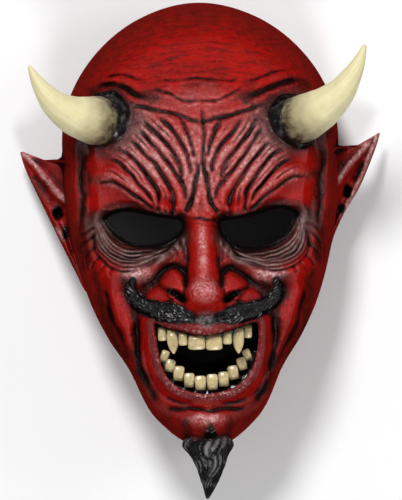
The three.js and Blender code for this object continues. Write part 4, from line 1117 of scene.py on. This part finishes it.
def model_horn(name, cavity):
    """A tapered horn, grooved along its length, with the part inside the hollow taken off."""
    seed = 1.0 if name == "horn_left" else 4.2
    line = horn_line(name, HORN_RINGS)
    rings = tube_rings(line, lambda t, a: horn_radius(t, a, seed), HORN_SIDES)
    horn = loft("carved_" + name, rings)
    join(horn, copy_of(cavity), "DIFFERENCE")
    points = read(horn.data.vertices, "co", 3)
    distance = np.linalg.norm(points[:, None, :] / MM - line[None, :, :], axis=2)
    share = lengthwise(line)[distance.argmin(1)]
    fine = hollows_and_crests(horn.data, 6)
    store(horn.data, along=share, sunk=np.clip(-fine / 0.25, 0, 1))
    return horn


def offset_outline(outline, amount):
    """A clockwise outline moved outwards by an amount, or inwards by a negative one."""
    outline = np.array(outline, float)
    along = np.roll(outline, -1, axis=0) - np.roll(outline, 1, axis=0)
    along *= amount / np.linalg.norm(along, axis=1)[:, None]
    return outline + np.stack([-along[:, 1], along[:, 0]], 1)


def crown(root, bite, width, pointed, level):
    """One tooth: rounded sections from the gum to the bite."""
    root, bite = np.array(root, float), np.array(bite, float)
    forward = (bite - root) / np.linalg.norm(bite - root)
    across = np.array([-forward[1], forward[0]])
    widths = POINTED_CROWN if pointed else PLAIN_CROWN
    angle = np.linspace(0, 2 * np.pi, CROWN_SIDES, endpoint=False)
    rings = []
    for k in range(CROWN_RINGS):
        t = 1 - (1 - k / (CROWN_RINGS - 1)) ** 1.6
        corner = 1 - 0.3 * np.clip((t - 0.84) / 0.16, 0, 1) ** 3
        half = 0.5 * width * listed(widths, np.array(t)) * corner
        thick = 0.5 * TOOTH_THICKNESS * (1 - 0.55 * t) * corner
        middle = root + (bite - root) * t
        top = level + 0.9 - 2.2 * (1 - min(1, t / 0.3)) ** 2 - 1.1 * t**4
        cos, sin = np.cos(angle), np.sin(angle)
        side = half * np.sign(cos) * np.abs(cos) ** 0.62
        deep = thick * np.sign(sin) * np.abs(sin) ** 0.95
        rings.append(np.column_stack([middle + np.outer(side, across), top - thick + deep]))
    return loft("crown", rings, "crown")


def model_teeth(name, teeth, gum_run):
    """A row of crowns on a gum strip that follows the mouth's wall."""
    first, last = gum_run
    wall = offset_outline(MOUTH_OUTLINE, -GUM_GAP)
    inner = offset_outline(MOUTH_OUTLINE, -GUM_DEPTH)
    picks = [k % len(MOUTH_OUTLINE) for k in range(first, last + 1)]
    outer_line = evenly(smooth_path(wall[picks]), GUM_RINGS)
    inner_line = evenly(smooth_path(inner[picks]), GUM_RINGS)

    def front(x, y):
        """How high the row stands at a place of the mouth's wall."""
        return Face(np.array([x], float), np.array([y], float)).broad[0] + LIP_FRONT - TEETH_SET_BACK

    steps = np.linspace(0, 1, GUM_RINGS)
    tops = np.interp(steps, np.linspace(0, 1, len(picks)), [front(*wall[k]) for k in picks])
    rings = []
    for (ox, oy), (ix, iy), top in zip(outer_line, inner_line, tops):
        swell = 0.5 * math.sin(ox * 1.1)
        profile = [(0, -0.6), (0.3, swell * 0.4 - 1.3), (0.62, swell * 0.5 - 1.9), (0.86, -2.6), (1, -3.8),
                   (1, -GUM_HEIGHT * 0.6), (0.96, -GUM_HEIGHT), (0.5, -GUM_HEIGHT), (0, -GUM_HEIGHT),
                   (0, -GUM_HEIGHT * 0.5)]
        rings.append([(ox + (ix - ox) * s, oy + (iy - oy) * s, top + dz) for s, dz in profile])
    row = loft(name, rings, "gum")
    rng = np.random.default_rng(len(teeth))
    roots, bites = [], []
    for root, bite, width, pointed in teeth:
        for side in (-1, 1):
            level = front(side * root[0], root[1])
            lean = rng.normal(0, 0.25)
            longer = rng.normal(0, 0.35)
            tooth = crown((side * root[0], root[1]), (side * bite[0] + lean, bite[1] + longer),
                          width * rng.uniform(0.95, 1.04), pointed, level)
            join(row, tooth, "UNION")
            roots.append((side * root[0], root[1]))
            bites.append((side * bite[0], bite[1]))
    roots, bites = np.array(roots), np.array(bites)
    pairs = edge_pairs(row.data)
    shares = region_shares(row.data)
    soften(row.data, np.clip(4 * shares["gum"] * shares["crown"], 0, 1), 3)
    fine = hollows_and_crests(row.data, 5)
    steep = np.clip((0.8 - read(row.data.vertices, "normal", 3)[:, 2]) / 0.55, 0, 1)
    places = read(row.data.vertices, "co", 3)[:, None, :2] / MM
    near = np.linalg.norm(places - (roots + bites) / 2, axis=2).argmin(1)
    run = bites[near] - roots[near]
    along = np.einsum("ij,ij->i", places[:, 0] - roots[near], run) / np.einsum("ij,ij->i", run, run)
    # The sunk value marks the crowns' hollows and steep sides for painted shade
    store(row.data, gum=ease(shares["gum"] * 1.4), root=ease(1 - along / 0.55),
          sunk=np.clip(spread(np.clip(-fine / 0.3, 0, 1), pairs, 1) + 0.8 * steep, 0, 1))
    return row


class Coats:
    """A painted finish, one coat over another, at the scale of the piece."""

    def __init__(self, name, colour):
        self.material = bpy.data.materials.new(name)
        self.material.use_nodes = True
        self.tree = self.material.node_tree
        self.shader = self.tree.nodes["Principled BSDF"]
        self.place = self.tree.nodes.new("ShaderNodeTexCoord").outputs["Object"]
        self.colour = colour
        self.set_socket(self.shader.inputs["Base Color"], colour)

    def add(self, kind, sockets=(), **settings):
        """Adds a shader node, with its sockets connected or set, and returns it."""
        node = self.tree.nodes.new("ShaderNode" + kind)
        for key, value in settings.items():
            setattr(node, key, value)
        for key, value in dict(sockets).items():
            if isinstance(value, bpy.types.NodeSocket):
                self.tree.links.new(value, node.inputs[key])
            else:
                node.inputs[key].default_value = value
        return node

    def set_socket(self, socket, colour):
        """Connects a colour to the socket, or sets a plain one on it."""
        if isinstance(colour, bpy.types.NodeSocket):
            self.tree.links.new(colour, socket)
        else:
            socket.default_value = (*colour[:3], 1)

    def stored(self, name):
        """A value kept at the mesh's points."""
        return self.add("Attribute", attribute_name=name).outputs["Fac"]

    def stretched(self, scale):
        """Places for a noise that is drawn out where the scale is small."""
        return self.add("Mapping", {"Vector": self.place, "Scale": scale}).outputs[0]

    def noise(self, size, detail=3.0, roughness=0.55, place=None):
        """Noise with lumps of about the given size in metres."""
        sockets = {"Vector": place or self.place, "Scale": 1 / size, "Detail": detail, "Roughness": roughness}
        return self.add("TexNoise", sockets).outputs["Fac"]

    def cells(self, size):
        """Distance to the edges of rounded cells of about the given size in metres."""
        sockets = {"Vector": self.place, "Scale": 1 / size}
        return self.add("TexVoronoi", sockets, feature="DISTANCE_TO_EDGE").outputs["Distance"]

    def span(self, value, low, high, to_low=0.0, to_high=1.0):
        """The value taken from one range to another, and held at its ends."""
        sockets = {"Value": value, "From Min": low, "From Max": high, "To Min": to_low, "To Max": to_high}
        return self.add("MapRange", sockets, clamp=True).outputs[0]

    def sum(self, first, second, operation="ADD"):
        """Two values added, or joined by another operation, and held between 0 and 1."""
        return self.add("Math", {0: first, 1: second}, operation=operation, use_clamp=True).outputs[0]

    def times(self, first, second):
        """The product of two values, held between 0 and 1."""
        return self.sum(first, second, "MULTIPLY")

    def broken(self, mask, pattern, *span):
        """A mask, or a stored one by its name, broken up by a pattern over a span of its values."""
        if isinstance(mask, str):
            mask = self.stored(mask)
        return self.times(mask, self.span(pattern, *span))

    def coat(self, colour, amount, blend="MIX"):
        """Lays a colour over what is there."""
        node = self.add("Mix", data_type="RGBA", blend_type=blend, clamp_factor=True)
        self.tree.links.new(amount, node.inputs["Factor"])
        self.set_socket(node.inputs[6], self.colour)
        self.set_socket(node.inputs[7], colour)
        self.colour = node.outputs[2]

    def dab(self, colour, mask, pattern, *span):
        """Lays a colour where the broken mask is."""
        self.coat(colour, self.broken(mask, pattern, *span))

    def fibres(self, size, turn):
        """Noise drawn out into fibres, turned the same way on both halves."""
        parts = self.add("SeparateXYZ", {0: self.place}).outputs
        sides = self.add("Math", {0: parts[0]}, operation="ABSOLUTE").outputs[0]
        place = self.add("CombineXYZ", {0: sides, 1: parts[1], 2: parts[2]}).outputs[0]
        turned = self.add("Mapping", {"Vector": place, "Rotation": (0, 0, turn), "Scale": (9, 1, 1)},
                          vector_type="TEXTURE").outputs[0]
        return self.noise(size, 2, 0.5, turned)

    def graze(self, facing, grazing):
        """A value that changes from where the surface faces the camera to where it turns away."""
        layer = self.add("LayerWeight", {"Blend": 0.5}).outputs["Facing"]
        return self.span(layer, 0.2, 0.5, facing, grazing)

    def relief(self, heights):
        """Fine surface texture: a height, how deep it is in metres, and how much of it shows."""
        normal = None
        for height, depth, *strength in heights:
            sockets = {"Height": height, "Distance": depth, "Strength": strength[0] if strength else 1.0}
            if normal:
                sockets["Normal"] = normal
            normal = self.add("Bump", sockets).outputs[0]
        self.tree.links.new(normal, self.shader.inputs["Normal"])

    def finish(self, roughness, **fixed):
        """Sets the shader's own values and connects the colour. Roughness may vary over the surface."""
        self.set_socket(self.shader.inputs["Base Color"], self.colour)
        if isinstance(roughness, bpy.types.NodeSocket):
            self.tree.links.new(roughness, self.shader.inputs["Roughness"])
        else:
            self.shader.inputs["Roughness"].default_value = roughness
        for key, value in fixed.items():
            self.shader.inputs[key.replace("_", " ")].default_value = value
        return self.material


def painted_latex(colours):
    """Red latex: mottled, airbrushed and washed dark, partly as painted shade, dry-brushed light on its
    crests, partly as painted highlights and glints.
    """
    coats = Coats("painted_latex", colours.skin)
    mottle = coats.noise(0.022, 4)
    speck = coats.noise(0.0024, 4, 0.72)
    drag = coats.noise(0.0042, 4, 0.65)
    coats.coat(colours.skin_dark, coats.span(mottle, 0.42, 0.7, 0.0, 0.55))
    coats.coat(colours.skin_dark, coats.span(drag, 0.5, 0.72, 0.0, 0.5))
    coats.dab(colours.speckle_and_highlight, coats.span(speck, 0.5, 0.7), drag, 0.4, 0.7, 0.1, 0.5)
    # Painted shade: the skin darker towards the head's outline
    coats.dab(colours.skin_dark, "edge", drag, 0.3, 0.6, 0.5, 0.95)
    coats.dab(colours.skin_dark, "ear", mottle, 0.4, 0.6, 0.2, 0.6)
    scratch = coats.noise(0.0028, 4, 0.65, coats.stretched((0.14, 1.0, 1.0)))
    coats.dab(colours.skin_dark, "skull", scratch, 0.48, 0.62, 0.0, 0.75)
    # Painted shade along the airbrushed paths, brown red and then near black
    dark = coats.broken("shade", speck, 0.3, 0.62, 1.3, 0.7)
    coats.coat(colours.skin_dark, coats.span(dark, 0.0, 0.6))
    coats.coat(colours.wash_and_shade, coats.span(dark, 0.4, 1.0, 0.0, 0.8))
    # Painted highlights: the crests lightened, partly as dry-brushing
    crests = coats.broken("raised", drag, 0.38, 0.62, 0.3, 1.0)
    coats.dab(colours.speckle_and_highlight, crests, speck, 0.35, 0.6, 0.2, 0.7)
    # Pale dry-brushing on the brows, painted highlight on the cheekbones, nose and chin
    coats.dab(colours.dry_brush_and_highlight, "pale", drag, 0.35, 0.6, 0.05, 0.5)
    coats.dab(colours.lip, "lip", drag, 0.35, 0.6, 0.75, 1.0)
    # Painted highlight and glints on the lips' rims and ridges
    coats.dab(colours.dry_brush_and_highlight, "lip_light", speck, 0.4, 0.62, 0.0, 0.35)
    coats.dab(colours.glinting, "lip_light", speck, 0.54, 0.62, 0.0, 0.95)
    coats.dab(colours.bag, "bag", drag, 0.3, 0.55, 0.8, 1.0)
    # Grey mauve on the eye bags' crests, partly painted highlight
    coats.coat(colours.bag_light, coats.times(crests, coats.stored("bag")))
    # Painted highlights and glints: the pale crests and gleams flecked almost white
    tops = coats.times(crests, coats.stored("pale"))
    coats.dab(colours.dry_brush_and_highlight, tops, speck, 0.35, 0.6, 0.6, 1.0)
    glint = coats.broken("gleam", speck, 0.46, 0.6, 0.1, 1.0)
    coats.dab(colours.glinting, glint, drag, 0.3, 0.6, 0.5, 1.0)
    coats.dab(colours.glinting, tops, speck, 0.5, 0.62, 0.0, 0.95)
    # Creases and hollows near black: partly a real wash, partly painted shade
    coats.dab(colours.wash_and_shade, "sunk", mottle, 0.3, 0.6, 0.85, 1.15)
    coats.dab(colours.wash_and_shade, "stubble", drag, 0.4, 0.55, 0.6, 1.0)
    coats.dab(colours.hair_grey_and_sheen, "stubble", speck, 0.42, 0.6, 0.1, 1.0)
    # Black paint round the eyes, on the collars and hair; in the ear canals and nostrils it is painted shade
    # in their hollows
    for mask in ("canal", "eye_black", "collar", "hair"):
        coats.coat(colours.black, coats.stored(mask))
    # Grey streaks on the hair's strands: painted sheen
    moustache = coats.sum(coats.stored("hair"), coats.stored("beard"), "SUBTRACT")
    tufts = coats.span(coats.noise(0.009, 2, 0.5), 0.5, 0.58)
    streaks = coats.span(coats.fibres(0.0011, 0.6), 0.57, 0.62)
    plait = coats.times(coats.stored("strand"), coats.times(coats.stored("beard"), 0.5))
    streaks = coats.sum(coats.times(streaks, moustache), plait)
    strands = coats.times(streaks, tufts)
    coats.dab(colours.hair_grey_and_sheen, strands, speck, 0.36, 0.5, 0.2, 1.0)
    # Painted sheen on the collars' crests
    grey = coats.times(coats.stored("raised"), coats.stored("collar"))
    coats.dab(colours.hair_grey_and_sheen, grey, drag, 0.5, 0.64, 0.0, 0.16)
    coats.coat(colours.black, coats.stored("pocket"))
    coats.coat(colours.lining, coats.stored("bare"))
    skin = coats.span(coats.sum(coats.stored("hair"), coats.stored("collar")), 0.0, 1.0, 1.0, 0.06)
    coats.relief([
        (coats.noise(0.0012, 3, 0.6), 0.00055, skin),
        (coats.cells(0.0024), 0.0004, skin),
        (drag, 0.0006, skin),
        (coats.fibres(0.0013, 0.6), 0.0006, moustache),
        (coats.fibres(0.0012, 1.5), 0.0006, coats.stored("beard")),
    ])
    bare = coats.times(coats.stored("bare"), 0.3)
    dull = coats.sum(coats.times(coats.stored("skull"), 0.8), coats.stored("pocket"))
    dull = coats.sum(dull, coats.stored("edge"))
    gloss = coats.times(coats.graze(0.26, 0.0), coats.span(dull, 0.0, 1.0, 1.0, 0.0))
    gloss = coats.sum(gloss, coats.times(moustache, coats.graze(0.1, 0.0)))
    coats.tree.links.new(gloss, coats.shader.inputs["Specular IOR Level"])
    return coats.finish(coats.sum(coats.span(drag, 0.3, 0.7, 0.16, 0.28), bare))


def horn_cream(colours):
    """Cream horn, streaked, and olive brown where it leaves its collar, partly as painted shade, with painted
    shade in its grooves.
    """
    coats = Coats("horn_cream", colours.horn)
    along = coats.stored("along")
    drag = coats.noise(0.006, 4, 0.6)
    streak = coats.noise(0.009, 5, 0.65)
    coats.dab(colours.olive_stain_and_shade, coats.span(streak, 0.5, 0.75), along, 0.0, 1.0, 0.3, 0.12)
    # Painted shade, partly olive paint: darker towards the collar, near black at its lip
    coats.dab(colours.olive_stain_and_shade, coats.span(along, 0.47, 0.26), drag, 0.35, 0.6, 0.7, 1.0)
    coats.dab(colours.wash_and_shade, coats.span(along, 0.35, 0.23), drag, 0.4, 0.6, 0.45, 0.95)
    # Painted shade in the fine grooves
    coats.dab(colours.olive_stain_and_shade, "sunk", along, 0.0, 1.0, 0.9, 0.6)
    coats.relief([(coats.noise(0.0013, 3), 0.00015), (drag, 0.0004)])
    return coats.finish(coats.span(drag, 0.3, 0.7, 0.34, 0.52), Specular_IOR_Level=0.4)


def tooth_enamel(colours):
    """Cream enamel, darker towards the black gum, with painted shade on the crowns' sides and in their
    hollows.
    """
    coats = Coats("tooth_enamel", colours.tooth)
    drag = coats.noise(0.003, 3)
    # Painted shade on the crowns' steep sides and in their hollows
    coats.dab(colours.olive_stain_and_shade, "sunk", drag, 0.3, 0.7, 0.6, 1.0)
    coats.dab(colours.olive_stain_and_shade, "root", drag, 0.3, 0.65, 0.35, 0.9)
    coats.coat(colours.olive_stain_and_shade, coats.span(drag, 0.45, 0.72, 0.12, 0.6))
    coats.coat(colours.black, coats.stored("gum"))
    coats.relief([(coats.noise(0.0012, 2), 0.0001)])
    return coats.finish(coats.span(drag, 0.3, 0.7, 0.18, 0.32), Coat_Weight=0.2, Coat_Roughness=0.15)


def pale_floor(colours):
    """A pale matt floor, a little uneven."""
    coats = Coats("pale_floor", colours.floor)
    coats.coat((0.95, 0.95, 0.95), coats.span(coats.noise(0.4, 2), 0.3, 0.7, 0.0, 0.3))
    return coats.finish(0.9, Specular_IOR_Level=0.2)


def dress(piece, node, material):
    """Puts the finish on a piece and lets it stand for its solid in the frame."""
    piece.data.materials.clear()
    piece.data.materials.append(material)
    piece.data.polygons.foreach_set("material_index", np.zeros(len(piece.data.polygons), np.int32))
    piece.data.shade_smooth()
    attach(piece, "root")
    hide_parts(node)


def add_light(name, place, target, size, power):
    """A round soft light aimed at a place."""
    light = bpy.data.lights.new(name, "AREA")
    light.shape = "DISK"
    light.size = size
    light.energy = power
    lamp = bpy.data.objects.new(name, light)
    lamp.location = place
    lamp.rotation_euler = (Vector(target) - Vector(place)).to_track_quat("-Z", "Y").to_euler()
    bpy.context.scene.collection.objects.link(lamp)


def colour_property(name, description, default):
    """A colour that can be picked in the panel."""
    return bpy.props.FloatVectorProperty(
        name=name, description=description, default=default, size=3, min=0, max=1, subtype="COLOR")


class MaskSizes(bpy.types.PropertyGroup):
    """Sizes of the mask."""

    wall: bpy.props.FloatProperty(
        name="Wall", description="Thickness of the latex skin", default=0.0032, min=0.002, max=0.006,
        unit="LENGTH", subtype="DISTANCE")
    floor_size: bpy.props.FloatProperty(
        name="Floor", description="Width of the floor the mask lies on", default=8.0, min=1.0, max=20.0,
        unit="LENGTH", subtype="DISTANCE")


class MaskColours(bpy.types.PropertyGroup):
    """Paints of the mask."""

    skin: colour_property("Skin", "Red of the skin", (0.35, 0.005, 0.0035))
    # Also painted shade at the head's outline and along the airbrushed paths
    skin_dark: colour_property("Dark skin", "Brown red of the edges and temples", (0.085, 0.007, 0.005))
    speckle_and_highlight: colour_property("Light skin", "Red of the fine speckle", (0.52, 0.02, 0.014))
    dry_brush_and_highlight: colour_property("Dry brush", "Pinkish red on the crests", (0.52, 0.22, 0.21))
    wash_and_shade: colour_property("Wash", "Near black in the creases", (0.008, 0.003, 0.003))
    bag: colour_property("Eye bag", "Dark grey brown under the eyes", (0.06, 0.02, 0.017))
    bag_light: colour_property("Bag crests", "Grey mauve on the rings of the eye bags", (0.29, 0.185, 0.17))
    lip: colour_property("Lip", "Crimson of the lips", (0.15, 0.009, 0.009))
    black: colour_property("Black", "Black of the hair, collars, sockets and mouth", (0.004, 0.0035, 0.0035))
    # Also painted sheen on the hair's strands and the collars' crests
    hair_grey_and_sheen: colour_property("Grey strands", "Grey dry-brushed on the hair and collars", (0.3, 0.28, 0.28))
    glinting: colour_property("Glinting crests", "Pinkish white where the crests are worn", (0.72, 0.5, 0.49))
    lining: colour_property("Lining", "Bare latex of the inside", (0.05, 0.02, 0.018))
    horn: colour_property("Horn", "Cream of the horns", (0.7, 0.63, 0.36))
    # Also painted shade at the horns' feet and in their grooves, and on the teeth
    olive_stain_and_shade: colour_property("Horn shade", "Olive brown at the foot of the horns", (0.22, 0.17, 0.085))
    tooth: colour_property("Tooth", "Cream of the teeth", (0.62, 0.49, 0.25))
    floor: colour_property("Floor", "Pale floor", (0.88, 0.88, 0.88))


class MASK_OT_skin(bpy.types.Operator):
    """Model the skin with its ears, moustache and goatee, and paint it"""

    bl_idname = "mask.skin"
    bl_label = "Skin"

    def execute(self, context):
        skin, cavity = model_skin(context.scene.mask_sizes.wall / MM)
        dress(skin, "mask_skin", painted_latex(context.scene.mask_colours))
        bpy.data.objects.remove(cavity)
        return {"FINISHED"}


class MASK_OT_horns(bpy.types.Operator):
    """Model both horns, set into their collars"""

    bl_idname = "mask.horns"
    bl_label = "Horns"

    def execute(self, context):
        cavity = hollow(context.scene.mask_sizes.wall / MM)
        cream = horn_cream(context.scene.mask_colours)
        for name in HORNS:
            dress(model_horn(name, cavity), name, cream)
        bpy.data.objects.remove(cavity)
        return {"FINISHED"}


class MASK_OT_teeth(bpy.types.Operator):
    """Model the upper and lower rows of teeth on their gums"""

    bl_idname = "mask.teeth"
    bl_label = "Teeth"

    def execute(self, context):
        enamel = tooth_enamel(context.scene.mask_colours)
        dress(model_teeth("upper_crowns", UPPER_TEETH, UPPER_GUM), "upper_teeth", enamel)
        dress(model_teeth("lower_crowns", LOWER_TEETH, LOWER_GUM), "lower_teeth", enamel)
        return {"FINISHED"}


class MASK_OT_stage(bpy.types.Operator):
    """Set the pale floor, the soft lights and the camera looking straight down on the mask"""

    bl_idname = "mask.stage"
    bl_label = "Stage"

    def execute(self, context):
        scene = context.scene
        half = scene.mask_sizes.floor_size / 2 / MM
        steps = np.linspace(-half, half, FLOOR_LINES)
        x, y = np.meshgrid(steps, steps)
        points = np.stack([x, y, np.full(x.shape, FLOOR_LEVEL)], -1).reshape(-1, 3)
        faces = grid_faces(np.arange(FLOOR_LINES**2).reshape(FLOOR_LINES, FLOOR_LINES))
        floor = mesh_object("pale_floor", points, faces)
        floor.data.materials.append(pale_floor(scene.mask_colours))
        for light in LIGHTS:
            add_light(*light)
        world = bpy.data.worlds.new("studio")
        world.use_nodes = True
        sky = world.node_tree.nodes["Background"]
        sky.inputs["Color"].default_value = SKY_COLOUR
        sky.inputs["Strength"].default_value = SKY_STRENGTH
        scene.world = world
        lens = bpy.data.cameras.new("view")
        lens.lens = lens.sensor_width * VIEW_DISTANCE / VIEW_SPAN
        lens.clip_end = 30
        camera = bpy.data.objects.new("view", lens)
        camera.location = (VIEW_OFFSET, 0, VIEW_DISTANCE + VIEW_FOCUS_HEIGHT)
        camera.rotation_euler = (0, 0, VIEW_ROLL)
        scene.collection.objects.link(camera)
        scene.camera = camera
        scene.view_settings.view_transform = "Standard"
        return {"FINISHED"}


class MASK_PT_panel(bpy.types.Panel):
    """The mask's sizes, paints and pieces"""

    bl_label = "Devil mask"
    bl_idname = "MASK_PT_panel"
    bl_space_type = "VIEW_3D"
    bl_region_type = "UI"
    bl_category = "Mask"

    def draw(self, context):
        """Every size and paint, then a button for each piece."""
        column = self.layout.column()
        for group in (context.scene.mask_sizes, context.scene.mask_colours):
            for name in type(group).__annotations__:
                column.prop(group, name)
        for operator in PIECES:
            column.operator(operator.bl_idname)


PIECES = (MASK_OT_skin, MASK_OT_horns, MASK_OT_teeth, MASK_OT_stage)
CLASSES = (MaskSizes, MaskColours, *PIECES, MASK_PT_panel)


def register():
    """Adds the add-on's classes and the scene's settings."""
    for cls in CLASSES:
        bpy.utils.register_class(cls)
    bpy.types.Scene.mask_sizes = bpy.props.PointerProperty(type=MaskSizes)
    bpy.types.Scene.mask_colours = bpy.props.PointerProperty(type=MaskColours)


def unregister():
    """Takes them away again."""
    del bpy.types.Scene.mask_colours
    del bpy.types.Scene.mask_sizes
    for cls in reversed(CLASSES):
        bpy.utils.unregister_class(cls)


def main():
    """Builds the whole scene."""
    register()
    bpy.ops.mask.skin()
    bpy.ops.mask.horns()
    bpy.ops.mask.teeth()
    bpy.ops.mask.stage()
    bpy.context.view_layer.update()


if __name__ == "__main__":
    main()
